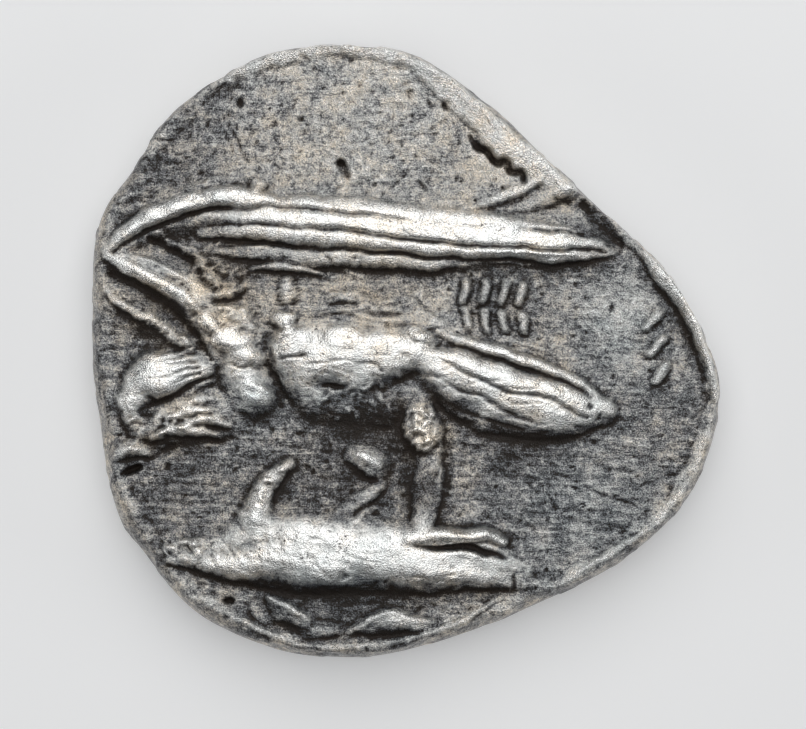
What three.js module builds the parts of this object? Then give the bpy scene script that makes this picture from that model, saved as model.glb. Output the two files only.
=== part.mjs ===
import * as THREE from 'three';

// A hammered silver coin lying on its plain side, with the struck picture of a bird on a dolphin facing up.
// Millimetres, +Z up. The origin is at the underside, in the middle of the outline.

// The flan
const coinWidth = 19.0;          // greatest width, from side to side of the picture
const groundThickness = 2.0;     // underside to the ground around the figures
const beltHeight = 0.95;         // height above the underside at which the coin is widest
const edgeInset = 0.42;          // how far the edge of the picture lies inside the greatest outline
const lipHeight = 0.16;          // raised lip along the edge of the picture
const lipWidth = 0.55;
const restInset = 1.3;           // how far inside the greatest outline the flat underside begins

// The picture
const reliefHeight = 0.6;        // ground to the top of the bird's back
const strokeRelief = 0.09;       // the row of small strokes beside the bird

// The punch mark in the underside
const punchSide = 9.0;
const punchDepth = 0.34;
const punchSlope = 0.5;          // width of its sloping walls
const barWidth = 0.9;            // the two bars that quarter it
const punchTurn = 12;            // degrees

// The net of triangles
const pictureCells = 36;         // cells across the picture side before it is split finer
const undersideCells = pictureCells / 2;
const pictureMiss = 0.048;       // an edge is split if its line misses the surface by more
const undersideMiss = 0.07;
const splitPasses = 3;
const rimRows = 2;               // rows from the picture to the belt, and again from there to the underside

// The outline as drawn, as angles in degrees and distances from the middle, for a coin of drawnWidth
const drawnWidth = 19.0;
const outline = [
  [-172, 9.49], [-164, 9.59], [-148, 10.10], [-144, 10.02], [-126, 10.12], [-100, 9.45], [-81.5, 8.80],
  [-70, 8.64], [-59, 8.70], [-43.4, 9.16], [-26.8, 9.64], [-8.4, 9.60], [5.5, 8.89], [23, 7.88],
  [34, 7.35], [46, 7.18], [58, 7.32], [77, 8.15], [88, 8.91], [102, 9.46], [114, 9.85],
  [136, 10.08], [146, 9.93], [157, 10.08], [172, 9.60],
];

const scale = coinWidth / drawnWidth;
const lerp = THREE.MathUtils.lerp;
const clamp = THREE.MathUtils.clamp;

// Radius of the outline at an angle: a smooth curve through the listed radii.
function outlineRadius(angle) {
  const count = outline.length;
  const degrees = THREE.MathUtils.radToDeg(angle);
  const knot = (k) => {
    const turns = Math.floor(k / count);
    const [a, r] = outline[k - turns * count];
    return [a + 360 * turns, r];
  };
  let k = outline.findIndex(([a]) => a > degrees) - 1;
  if (k === -2) k = count - 1;
  const [[a0, r0], [a1, r1], [a2, r2], [a3, r3]] = [k - 1, k, k + 1, k + 2].map(knot);
  const step = a2 - a1;
  const t = (degrees - a1) / step;
  const slope1 = (r2 - r0) / (a2 - a0) * step;
  const slope2 = (r3 - r1) / (a3 - a1) * step;
  const t2 = t * t;
  const t3 = t2 * t;
  return (2 * t3 - 3 * t2 + 1) * r1 + (t3 - 2 * t2 + t) * slope1
    + (3 * t2 - 2 * t3) * r2 + (t3 - t2) * slope2;
}

const beltRadius = (angle) => outlineRadius(angle) * scale;
const pictureRadius = (angle) => beltRadius(angle) - edgeInset;
const restRadius = (angle) => beltRadius(angle) - restInset;

// Value of a list at a share of its length, in a straight line between its entries.
function listAt(list, share) {
  const k = share * (list.length - 1);
  const i = Math.min(Math.floor(k), list.length - 2);
  return lerp(list[i], list[i + 1], k - i);
}

// A roll of metal along a path. Its height at a point is its crest's height there times
// (1 - (distance to the path / half width) squared) to the power of its fullness.
function roll(points, halfWidths, heights, fullness = 0.9) {
  const path = new THREE.SplineCurve(points.map(([x, y]) => new THREE.Vector2(x, y)))
    .getPoints((points.length - 1) * 4);
  const box = new THREE.Box2().setFromPoints(path).expandByScalar(Math.max(...halfWidths));
  const here = new THREE.Vector2();
  return (x, y) => {
    if (!box.containsPoint(here.set(x, y))) return 0;
    let nearest = Infinity;
    let share = 0;
    for (let i = 0; i + 1 < path.length; i++) {
      const a = path[i];
      const dx = path[i + 1].x - a.x;
      const dy = path[i + 1].y - a.y;
      const t = clamp(((x - a.x) * dx + (y - a.y) * dy) / (dx * dx + dy * dy), 0, 1);
      const distance = Math.hypot(x - a.x - t * dx, y - a.y - t * dy);
      if (distance < nearest) {
        nearest = distance;
        share = (i + t) / (path.length - 1);
      }
    }
    const inside = 1 - (nearest / listAt(halfWidths, share)) ** 2;
    return inside > 0 ? listAt(heights, share) * inside ** fullness : 0;
  };
}

// An oval mound, with the same cross section as a roll.
function mound(x0, y0, radiusX, radiusY, turn, height, fullness = 0.9) {
  const cos = Math.cos(THREE.MathUtils.degToRad(turn));
  const sin = Math.sin(THREE.MathUtils.degToRad(turn));
  return (x, y) => {
    const along = ((x - x0) * cos + (y - y0) * sin) / radiusX;
    const across = ((y - y0) * cos - (x - x0) * sin) / radiusY;
    const inside = 1 - along ** 2 - across ** 2;
    return inside > 0 ? height * inside ** fullness : 0;
  };
}

// The figures. Places are on the drawn coin, and heights are shares of the relief.
// What is raised stands on the ground, ridges lie on top of that, and grooves are cut last.

function spreadWing() {
  const quill = (points, halfWidth, height) => roll(points,
    [halfWidth * 0.6, halfWidth, halfWidth, halfWidth * 0.5], [height * 0.5, height, height, height * 0.5]);
  return {
    raised: [
      roll([[-5.6, 3.5], [-3.5, 3.6], [-1, 3.45], [1.5, 3.3], [4, 3.15], [6.2, 3.05]],
        [0.75, 1.05, 0.95, 0.85, 0.62, 0.45], [0.14, 0.4, 0.46, 0.44, 0.34, 0.14]),
      roll([[-8.75, 3.1], [-8.2, 3.5], [-7.4, 3.95], [-6.5, 4.28], [-5.7, 4.55], [-4.8, 4.52]],
        [0.15, 0.28, 0.3, 0.28, 0.27, 0.2], [0.4, 0.6, 0.7, 0.7, 0.67, 0.64]),
      roll([[-8.8, 2.98], [-8.35, 2.55], [-7.7, 2.22], [-7, 1.8], [-6.35, 1.28], [-5.8, 0.75],
        [-5.35, 0.15]],
        [0.14, 0.24, 0.28, 0.3, 0.32, 0.38, 0.5], [0.34, 0.5, 0.6, 0.67, 0.7, 0.74, 0.8]),
      roll([[-6.3, 4.85], [-5.4, 5.05], [-4.6, 5.2], [-4, 5.05]],
        [0.15, 0.24, 0.26, 0.16], [0.1, 0.22, 0.26, 0.16]),
      roll([[-8.95, 1.95], [-8.6, 1.52], [-8, 1.2], [-7.4, 0.85], [-6.9, 0.4], [-6.45, -0.05]],
        [0.12, 0.2, 0.22, 0.22, 0.24, 0.26], [0.2, 0.32, 0.34, 0.34, 0.36, 0.4]),
    ],
    ridges: [
      quill([[-4.9, 4.5], [-3, 4.44], [-1, 4.24], [1, 4.02], [3, 3.85], [5.3, 3.63]], 0.25, 0.34),
      quill([[-5.4, 4], [-4, 4], [-2, 3.83], [0, 3.64], [2, 3.47], [4, 3.33], [5.9, 3.12]], 0.28, 0.36),
      quill([[-5.9, 3.45], [-4, 3.42], [-2, 3.26], [0, 3.07], [2, 2.9], [4, 2.78], [5.6, 2.72]],
        0.25, 0.36),
      quill([[-5.4, 2.95], [-4, 2.89], [-2.4, 2.8], [-1, 2.7], [0.4, 2.6], [1.8, 2.55]], 0.24, 0.38),
      quill([[-4.7, 2.38], [-3.6, 2.46], [-2.4, 2.36], [-1.2, 2.2]], 0.19, 0.34),
    ],
    grooves: [],
  };
}

// Rows of small feathers between the two rolls of the wing, stepping down to the right.
function smallFeathers() {
  const rows = [
    { from: [-7.3, 3.1], to: [-4.9, 1.45], count: 6, height: 0.28 },
    { from: [-6.6, 3.6], to: [-3.9, 2.1], count: 6, height: 0.2 },
  ];
  const sag = 0.18;
  const lean = -38;
  const feather = ({ from, to, count, height }) => Array.from({ length: count }, (_, k) => {
    const t = k / (count - 1);
    const y = lerp(from[1], to[1], t) + sag * Math.sin(Math.PI * t);
    return mound(lerp(from[0], to[0], t), y, 0.3, 0.17, lean, height);
  });
  const raised = rows.flatMap(feather);
  return { raised, ridges: [], grooves: [] };
}

function trunk() {
  const lines = Array.from({ length: 3 }, (_, k) => roll(
    [[-2.5, 1.1 + 0.2 * k], [-1.7, 1.08 + 0.22 * k], [-0.8, 0.95 + 0.2 * k],
     [0.1, 0.98 + 0.18 * k], [0.9, 0.6 + 0.18 * k]],
    [0.08, 0.11, 0.11, 0.11, 0.08], [0.06, 0.14, 0.14, 0.14, 0.06]));
  return {
    raised: [
      roll([[-5.35, 0.25], [-4.95, -0.35], [-4.7, -0.95], [-4.58, -1.45]],
        [0.5, 0.62, 0.64, 0.52], [0.8, 0.84, 0.76, 0.6]),
      roll([[-3.15, -0.05], [-2.2, -0.15], [-1.2, -0.25], [-0.2, -0.1], [0.15, -0.05]],
        [0.85, 1.05, 1.05, 0.82, 0.6], [0.86, 1, 1, 0.92, 0.76], 0.5),
      mound(-3.45, 0.25, 0.55, 0.45, 0, 0.98),
      mound(-3.6, 0.92, 0.48, 0.28, 10, 0.82),
      mound(0.35, 0.42, 0.48, 0.25, -12, 0.82),
      roll([[-3.2, -0.9], [-2.2, -1.15], [-1, -1.2], [-0.2, -1.1]],
        [0.6, 0.8, 0.85, 0.6], [0.5, 0.56, 0.56, 0.4]),
    ],
    ridges: lines,
    grooves: [
      roll([[-4, -0.25], [-3.55, -0.22], [-3, -0.12]], [0.1, 0.12, 0.08], [0.14, 0.12, 0.06]),
      mound(-2.15, -1.12, 0.34, 0.16, -15, 0.22),
    ],
  };
}

function tail() {
  const seam = (points, depth) => roll(points,
    [0.08, 0.11, 0.11, 0.09], [depth * 0.5, depth, depth, depth * 0.7]);
  return {
    raised: [
      roll([[0.95, -0.55], [2, -0.85], [3.2, -1.25], [4.4, -1.65], [5.45, -2]],
        [0.5, 0.98, 1.22, 1.12, 0.62],
        [0.56, 0.76, 0.82, 0.76, 0.56]),
      roll([[1.9, 0.36], [2.9, 0.08], [3.9, -0.35], [4.9, -0.82], [5.7, -1.3]],
        [0.1, 0.17, 0.17, 0.17, 0.12],
        [0.2, 0.4, 0.44, 0.44, 0.28]),
    ],
    ridges: [],
    grooves: [
      seam([[1.2, 0.15], [2.2, 0], [3, -0.3], [4, -0.72], [5, -1.15], [5.9, -1.78]], 0.18),
      seam([[1, -0.75], [2, -1.28], [3, -1.8], [4, -1.98], [4.6, -2.05]], 0.2),
      seam([[1, -1.25], [2, -1.85], [3, -2.2], [4, -2.45], [5, -2.62]], 0.18),
    ],
  };
}

function head() {
  const fold = (points, halfWidth, height) => roll(points, [halfWidth * 0.7, halfWidth, halfWidth * 0.7],
    [height * 0.7, height, height * 0.6]);
  return {
    raised: [
      roll([[-8.25, -1.2], [-7.5, -0.82], [-6.7, -0.6], [-6, -0.55]],
        [0.42, 0.72, 0.74, 0.55], [0.56, 0.84, 0.76, 0.56]),
      roll([[-8.35, -1.45], [-8.25, -1.9], [-8.15, -2.25]], [0.35, 0.34, 0.3], [0.44, 0.36, 0.36]),
      fold([[-6.6, -1.58], [-6, -1.47], [-5.6, -1.55]], 0.18, 0.34),
      fold([[-7, -1.98], [-6.4, -1.84], [-5.7, -1.88]], 0.2, 0.36),
      fold([[-6.7, -2.22], [-6, -2.08], [-5.3, -2.28]], 0.22, 0.44),
      fold([[-7.7, -2.68], [-7.1, -2.48], [-6.3, -2.5], [-5.4, -2.6]], 0.22, 0.34),
      fold([[-8.6, -3.1], [-8.2, -2.95], [-7.8, -3.05]], 0.28, 0.36),
    ],
    ridges: [],
    grooves: Array.from({ length: 3 }, (_, k) => roll(
      [[-7.4 + 0.2 * k, -0.25 - 0.32 * k], [-6.2 + 0.1 * k, -0.08 - 0.32 * k]], [0.06, 0.1],
       [0.06, 0.16])),
  };
}

function legs() {
  const lumps = Array.from({ length: 5 }, (_, k) => mound(
    0.55 + 0.27 * Math.cos(2.4 * k), -1.7 - 0.24 * k, 0.22, 0.16, 35, 0.14));
  return {
    raised: [
      roll([[0.45, -1.3], [0.55, -2], [0.6, -2.75]], [0.45, 0.62, 0.45], [0.4, 0.56, 0.5]),
      roll([[0.72, -3.1], [0.66, -4], [0.55, -4.8], [0.48, -5.6]],
        [0.36, 0.38, 0.36, 0.34], [0.34, 0.4, 0.46, 0.56], 0.35),
      roll([[-1.65, -3.2], [-1.2, -2.98], [-0.75, -3.15], [-0.5, -3.5]],
        [0.18, 0.25, 0.26, 0.18], [0.28, 0.5, 0.54, 0.3]),
      roll([[-0.62, -3.7], [-0.85, -4.15], [-1.35, -4.52], [-1.9, -4.85]],
        [0.18, 0.24, 0.22, 0.16], [0.24, 0.36, 0.36, 0.32]),
      roll([[-1, -4.55], [-1.35, -4.88], [-1.65, -5.15]], [0.12, 0.16, 0.12], [0.2, 0.34, 0.34]),
    ],
    ridges: lumps,
    grooves: [],
  };
}

function dolphin() {
  return {
    raised: [
      roll([[-6.55, -6.02], [-5.5, -6.02], [-4.4, -5.85], [-3, -5.95], [-1.2, -6.08], [0.6, -6.25],
        [2.2, -6.45], [3.6, -6.75]],
        [0.42, 0.72, 0.98, 0.95, 0.92, 0.88, 0.8, 0.52], [0.5, 0.8, 0.94, 0.98, 0.98, 0.92, 0.76, 0.44]),
      roll([[-4.45, -4.9], [-4.3, -4.3], [-4, -3.8], [-3.45, -3.5]],
        [0.62, 0.34, 0.3, 0.2], [0.76, 0.6, 0.5, 0.34]),
      roll([[0.2, -5.62], [1.2, -5.62], [2, -5.66], [2.65, -5.8]],
        [0.24, 0.22, 0.24, 0.28], [0.7, 0.8, 0.84, 0.84]),
      roll([[-4.05, -7.38], [-3.5, -7.7], [-3.1, -8], [-2.5, -8.38]],
        [0.1, 0.16, 0.16, 0.16], [0.14, 0.24, 0.24, 0.24]),
      roll([[-1.7, -8.35], [-1, -8.05], [-0.35, -7.86], [0.2, -8.02], [0.85, -8.14]],
        [0.14, 0.28, 0.3, 0.26, 0.12],
        [0.2, 0.4, 0.46, 0.36, 0.14]),
    ],
    ridges: [],
    grooves: [
      roll([[0.3, -5.85], [1, -5.96], [1.9, -5.93], [2.9, -6.14]],
        [0.08, 0.15, 0.17, 0.1], [0.16, 0.36, 0.38, 0.18]),
      roll([[-5.72, -5.65], [-5.78, -6], [-5.74, -6.35]], [0.09, 0.13, 0.09], [0.12, 0.2, 0.12]),
    ],
  };
}

// Two rows of plain strokes beside the bird, and a short row near the right edge.
function strokes() {
  const share = strokeRelief / reliefHeight;
  const rows = [
    { x: 1.75, y: 1.75, stepX: 0.48, stepY: -0.02, count: 4, lean: 0.06 },
    { x: 1.7, y: 1.15, stepX: 0.48, stepY: -0.06, count: 4, lean: -0.05 },
    { x: 7.55, y: -0.3, stepX: 0.12, stepY: -0.6, count: 3, lean: 0.14 },
  ];
  const half = 0.17;
  const row = ({ x, y, stepX, stepY, count, lean }) => Array.from({ length: count }, (_, k) => roll(
    [[x + stepX * k - lean, y + stepY * k - half], [x + stepX * k + lean, y + stepY * k + half]],
    [0.11, 0.11], [share, share]));
  const ridges = rows.flatMap(row);
  return { raised: [], ridges, grooves: [] };
}

// Folds and a crack in the metal at the broken upper right corner.
function cornerFolds() {
  return {
    raised: [
      roll([[1.6, 4.26], [2.4, 4.4], [3.2, 4.66], [4.05, 5.05]],
        [0.08, 0.16, 0.2, 0.12], [0.08, 0.28, 0.44, 0.24]),
      roll([[3.1, 4.2], [3.9, 4.38], [4.5, 4.62], [4.85, 4.95]],
        [0.08, 0.17, 0.22, 0.16], [0.1, 0.34, 0.44, 0.28]),
    ],
    ridges: [],
    grooves: [
      roll([[2.4, 5.92], [2.9, 5.62], [3.2, 5.42], [3.5, 5.12]],
        [0.12, 0.16, 0.19, 0.13], [0.2, 0.34, 0.38, 0.2]),
      mound(-1.86, 5.45, 0.3, 0.18, -55, 0.2),
    ],
  };
}

const figures = [spreadWing, smallFeathers, trunk, tail, head, legs, dolphin, strokes, cornerFolds]
  .map((form) => form());
const raised = figures.flatMap((figure) => figure.raised);
const ridges = figures.flatMap((figure) => figure.ridges);
const grooves = figures.flatMap((figure) => figure.grooves);

// Height of the picture side: the ground, the lip along its edge and the figures.
function pictureHeight(x, y) {
  const inward = pictureRadius(Math.atan2(y, x)) - Math.hypot(x, y);
  const lip = lipHeight * Math.max(0, 1 - (inward / lipWidth) ** 2);
  const [drawnX, drawnY] = [x / scale, y / scale];
  const total = (list) => list.reduce((sum, form) => sum + form(drawnX, drawnY), 0);
  const top = raised.reduce((high, form) => Math.max(high, form(drawnX, drawnY)), 0);
  const share = Math.min(top + total(ridges) - total(grooves), 1);
  return groundThickness + Math.max(lip, reliefHeight * share);
}

// Height of the underside: flat, with a shallow square punch mark quartered by two bars.
function undersideHeight(x, y) {
  const turn = THREE.MathUtils.degToRad(punchTurn);
  const across = Math.abs(x * Math.cos(turn) + y * Math.sin(turn));
  const up = Math.abs(y * Math.cos(turn) - x * Math.sin(turn));
  const toWall = punchSide / 2 - Math.max(across, up);
  const toBar = Math.min(across, up) - barWidth / 2;
  return punchDepth * clamp(Math.min(toWall, toBar) / punchSlope, 0, 1);
}

// One side of the coin as a net: square cells drawn out to a rounded outline by turning each ring
// of cells into a ring of that outline, then split finer where the surface bends.
function side(cells, radius, height, miss) {
  const points = [];
  for (let j = 0; j <= cells; j++) {
    for (let i = 0; i <= cells; i++) {
      const u = 2 * i / cells - 1;
      const v = 2 * j / cells - 1;
      const wide = Math.abs(u) > Math.abs(v);
      const ring = wide ? u : v;
      const eighth = ring === 0 ? 0 : Math.PI / 4 * (wide ? v : u) / ring;
      const turn = wide ? eighth : Math.PI / 2 - eighth;
      const [x, y] = [ring * Math.cos(turn), ring * Math.sin(turn)];
      const reach = radius(Math.atan2(y, x));
      points.push([x * reach, y * reach, height(x * reach, y * reach)]);
    }
  }

  const at = (i, j) => j * (cells + 1) + i;
  let triangles = [];
  for (let j = 0; j < cells; j++) {
    for (let i = 0; i < cells; i++) {
      const [a, b, c, d] = [at(i, j), at(i + 1, j), at(i + 1, j + 1), at(i, j + 1)];
      const towardsMiddle = (i < cells / 2) === (j < cells / 2);
      triangles.push(...(towardsMiddle ? [[a, b, c], [a, c, d]] : [[a, b, d], [b, c, d]]));
    }
  }

  const edgeLoop = [
    ...Array.from({ length: cells }, (_, k) => at(k, 0)),
    ...Array.from({ length: cells }, (_, k) => at(cells, k)),
    ...Array.from({ length: cells }, (_, k) => at(cells - k, cells)),
    ...Array.from({ length: cells }, (_, k) => at(0, cells - k)),
  ];
  const fixed = new Set(edgeLoop);
  for (let pass = 0; pass < splitPasses; pass++) {
    triangles = splitWhereBent(points, triangles, fixed, height, miss);
  }
  return { points, triangles, edgeLoop };
}

// Splits each inner edge whose straight line misses the surface, and the triangles on both sides of it.
function splitWhereBent(points, triangles, fixed, height, miss) {
  const middles = new Map();
  const middle = (a, b) => {
    const key = Math.min(a, b) + ' ' + Math.max(a, b);
    if (middles.has(key)) return middles.get(key);
    const [p, q] = [points[a], points[b]];
    const worst = Math.max(...[0.25, 0.5, 0.75].map((t) => Math.abs(
      height(lerp(p[0], q[0], t), lerp(p[1], q[1], t)) - lerp(p[2], q[2], t))));
    let found = -1;
    if (worst > miss && !(fixed.has(a) && fixed.has(b))) {
      const [x, y] = [(p[0] + q[0]) / 2, (p[1] + q[1]) / 2];
      found = points.push([x, y, height(x, y)]) - 1;
    }
    middles.set(key, found);
    return found;
  };
  const gap = (a, b) => Math.hypot(points[a][0] - points[b][0], points[a][1] - points[b][1]);
  return triangles.flatMap(([a, b, c]) => {
    const [ab, bc, ca] = [middle(a, b), middle(b, c), middle(c, a)];
    const splits = [ab, bc, ca].filter((m) => m >= 0).length;
    if (splits === 0) return [[a, b, c]];
    if (splits === 3) return [[a, ab, ca], [ab, b, bc], [ca, bc, c], [ab, bc, ca]];
    // turn the triangle so that one split is on its first edge, and a second on its next
    const [p, q, r, first, second] = splits === 1
      ? (ab >= 0 ? [a, b, c, ab] : bc >= 0 ? [b, c, a, bc] : [c, a, b, ca])
      : (ca < 0 ? [a, b, c, ab, bc] : ab < 0 ? [b, c, a, bc, ca] : [c, a, b, ca, ab]);
    if (splits === 1) return [[p, first, r], [first, q, r]];
    const corner = [first, q, second];
    return gap(p, second) < gap(first, r)
      ? [corner, [p, first, second], [p, second, r]]
      : [corner, [p, first, r], [first, second, r]];
  });
}

// The whole coin as one closed skin: the picture side, the rounded rim and the underside.
function coinGeometry() {
  const picture = side(pictureCells, pictureRadius, pictureHeight, pictureMiss);
  const underside = side(undersideCells, restRadius, undersideHeight, undersideMiss);
  const points = [...picture.points];
  const triangles = [...picture.triangles];

  // rim rows: a quarter of an ellipse out to the belt, and another back in to the underside
  const rimPoint = (angle, edgeHeight, row) => {
    const below = Math.max(0, row - rimRows);
    const swing = Math.PI / 2 * (below > 0 ? below : row) / rimRows;
    const reach = below > 0
      ? lerp(restRadius(angle), beltRadius(angle), Math.cos(swing))
      : lerp(pictureRadius(angle), beltRadius(angle), Math.sin(swing));
    const z = below > 0
      ? beltHeight * (1 - Math.sin(swing))
      : lerp(beltHeight, edgeHeight, Math.cos(swing));
    return [reach * Math.cos(angle), reach * Math.sin(angle), z];
  };

  let above = picture.edgeLoop;
  for (let row = 1; row < 2 * rimRows; row++) {
    const start = points.length;
    picture.edgeLoop.forEach((index) => {
      const [x, y, z] = picture.points[index];
      points.push(rimPoint(Math.atan2(y, x), z, row));
    });
    const loop = above.map((_, k) => start + k);
    above.forEach((a, k) => {
      const next = (k + 1) % above.length;
      triangles.push([a, loop[k], loop[next]], [a, loop[next], above[next]]);
    });
    above = loop;
  }

  // the last row meets the underside, which has one edge for every two of the rim
  const undersideStart = points.length;
  points.push(...underside.points);
  const loop = underside.edgeLoop.map((index) => undersideStart + index);
  loop.forEach((b, k) => {
    const next = loop[(k + 1) % loop.length];
    const [a0, a1, a2] = [above[2 * k], above[2 * k + 1], above[(2 * k + 2) % above.length]];
    triangles.push([a0, b, a1], [a1, b, next], [a1, next, a2]);
  });
  underside.triangles.forEach(([a, b, c]) => {
    triangles.push([undersideStart + a, undersideStart + c, undersideStart + b]);
  });

  const geometry = new THREE.BufferGeometry();
  geometry.setAttribute('position', new THREE.Float32BufferAttribute(points.flat(), 3));
  geometry.setIndex(triangles.flat());
  geometry.computeBoundingBox();
  const centre = geometry.boundingBox.getCenter(new THREE.Vector3());
  geometry.translate(-centre.x, -centre.y, 0);
  geometry.computeVertexNormals();
  return geometry;
}

const silver = new THREE.MeshStandardMaterial({ color: 0xb9b6ae, roughness: 0.38, metalness: 1.0 });

const coin = new THREE.Mesh(coinGeometry(), silver);
coin.name = 'coin';

const model = new THREE.Group();
model.add(coin);

export default model;
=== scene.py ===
import math

import bpy
import numpy as np
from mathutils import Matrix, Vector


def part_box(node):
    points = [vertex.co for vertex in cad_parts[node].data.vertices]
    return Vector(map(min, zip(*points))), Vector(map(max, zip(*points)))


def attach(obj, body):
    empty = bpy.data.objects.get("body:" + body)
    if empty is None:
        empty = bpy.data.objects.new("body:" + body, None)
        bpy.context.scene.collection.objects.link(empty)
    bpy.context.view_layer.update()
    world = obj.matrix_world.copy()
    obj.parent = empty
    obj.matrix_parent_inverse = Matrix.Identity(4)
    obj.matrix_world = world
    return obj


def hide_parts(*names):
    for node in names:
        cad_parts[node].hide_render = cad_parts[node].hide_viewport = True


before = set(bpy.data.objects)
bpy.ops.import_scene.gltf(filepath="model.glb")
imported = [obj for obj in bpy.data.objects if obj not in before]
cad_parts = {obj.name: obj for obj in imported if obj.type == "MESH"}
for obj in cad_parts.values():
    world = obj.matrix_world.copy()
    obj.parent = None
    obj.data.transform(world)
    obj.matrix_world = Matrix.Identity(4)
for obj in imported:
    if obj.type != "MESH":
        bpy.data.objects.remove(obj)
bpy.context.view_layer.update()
mm = 0.001
seed = np.random.default_rng(7)

# Everything below is drawn in millimetres, x to the right and y up the struck picture.
coin = {
    "cell": 0.03,  # spacing of the height map
    "reach": 9.9,  # half the side of the height map
    "ground": 2.0,  # underside to the ground around the figures
    "belt": 0.95,  # height at which the coin is widest
    "restInset": 1.3,  # edge of the flat underside inside the outline
    "cells": (224, 376),  # of the struck picture, across and up: finer up, because most lines lie level
    "rimRows": 5,
    "rimRoughness": 0.035,
}

# the silhouette, as angle in degrees and distance from the middle
outline = [
    (-172, 9.49), (-164, 9.59), (-148, 10.10), (-144, 10.02), (-126, 10.12), (-100, 9.45), (-81.5, 8.80),
    (-70, 8.64), (-59, 8.70), (-43.4, 9.16), (-26.8, 9.64), (-8.4, 9.60), (5.5, 8.89), (23, 7.88),
    (34, 7.35), (46, 7.18), (58, 7.32), (77, 8.15), (88, 8.91), (102, 9.46), (114, 9.85),
    (136, 10.08), (146, 9.93), (157, 10.08), (172, 9.60),
]

# Along the edge of the picture, by angle: how far it lies inside the silhouette, and the height and
# width of the raised lip there.
edge = {
    "angles": [-180, -150, -120, -90, -60, -30, -5, 15, 35, 50, 65, 80, 100, 125, 150, 180],
    "insets": [0.5, 0.52, 0.46, 0.42, 0.4, 0.38, 0.28, 0.17, 0.18, 0.24, 0.34, 0.22, 0.16, 0.22, 0.4, 0.5],
    "rises": [0.05, 0.08, 0.1, 0.1, 0.1, 0.1, 0.12, 0.12, 0.1, 0.1, 0.1, 0.12, 0.12, 0.08, 0.04, 0.05],
    "widths": [0.25, 0.3, 0.32, 0.3, 0.3, 0.34, 0.3, 0.25, 0.3, 0.35, 0.35, 0.3, 0.32, 0.32, 0.25, 0.25],
}


# Radius of the silhouette at each angle: a cubic between neighbouring entries, whose slope at an
# entry is that of the line joining the entries on both sides of it.
def outlineRadius(angle):
    knots = np.array(outline, float)
    degrees = np.degrees(angle)
    turns = [[360, 0]]
    knots = np.vstack([knots[-2:] - turns, knots, knots[:3] + turns])
    a, r = knots.T
    k = np.clip(np.searchsorted(a, degrees, side="right") - 1, 1, len(a) - 3)
    step = a[k + 1] - a[k]
    t = (degrees - a[k]) / step
    leave = (r[k + 1] - r[k - 1]) / (a[k + 1] - a[k - 1]) * step
    arrive = (r[k + 2] - r[k]) / (a[k + 2] - a[k]) * step
    return (r[k] * (2 * t**3 - 3 * t**2 + 1) + leave * (t**3 - 2 * t**2 + t)
            + r[k + 1] * (3 * t**2 - 2 * t**3) + arrive * (t**3 - t**2))


# one of the edge's rows at each angle, by straight lines between its entries
def edgeValue(name, angle):
    return np.interp(np.degrees(angle), edge["angles"], edge[name])


# Radius of the edge of the picture: its inset with three ripples round the coin.
def pictureRadius(angle):
    ripples = 0.035 * np.sin(17 * angle + 1) + 0.03 * np.sin(29 * angle + 2) + 0.02 * np.sin(53 * angle)
    return outlineRadius(angle) - edgeValue("insets", angle) * (1 + ripples * 3)


# Smooth curve through given points: between two points the cubic whose slope at each is half
# the step from the point before to the point after.
def smoothPath(points, steps=6):
    p = np.asarray(points, float)
    if len(p) == 2:
        return p
    p = np.vstack([2 * p[0] - p[1], p, 2 * p[-1] - p[-2]])
    t = np.linspace(0, 1, steps, endpoint=False)[None, :, None]
    a, b, c, d = (p[i:len(p) - 3 + i, None, :] for i in range(4))
    curve = 0.5 * (2 * b + (c - a) * t + (2 * a - 5 * b + 4 * c - d) * t**2 + (3 * b - a - 3 * c + d) * t**3)
    return np.vstack([curve.reshape(-1, p.shape[1]), p[-2]])


# Gaussian blur through the Fourier transform; two radii and a turn make a streaky one.
def blurred(values, along, across=None, turn=0.0):
    cell = coin["cell"]
    across = along if across is None else across
    fy = np.fft.fftfreq(values.shape[0], cell)[:, None]
    fx = np.fft.rfftfreq(values.shape[1], cell)[None, :]
    c, s = math.cos(math.radians(turn)), math.sin(math.radians(turn))
    squares = (along * (fx * c + fy * s)) ** 2 + (across * (fy * c - fx * s)) ** 2
    return np.fft.irfft2(np.fft.rfft2(values) * np.exp(-2 * math.pi**2 * squares), s=values.shape)


# random roughness of unit deviation, with features of about the given sizes in millimetres
def grain(shape, along, across=None, turn=0.0):
    values = blurred(seed.standard_normal(shape), along, across, turn)
    return values / values.std()


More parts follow.
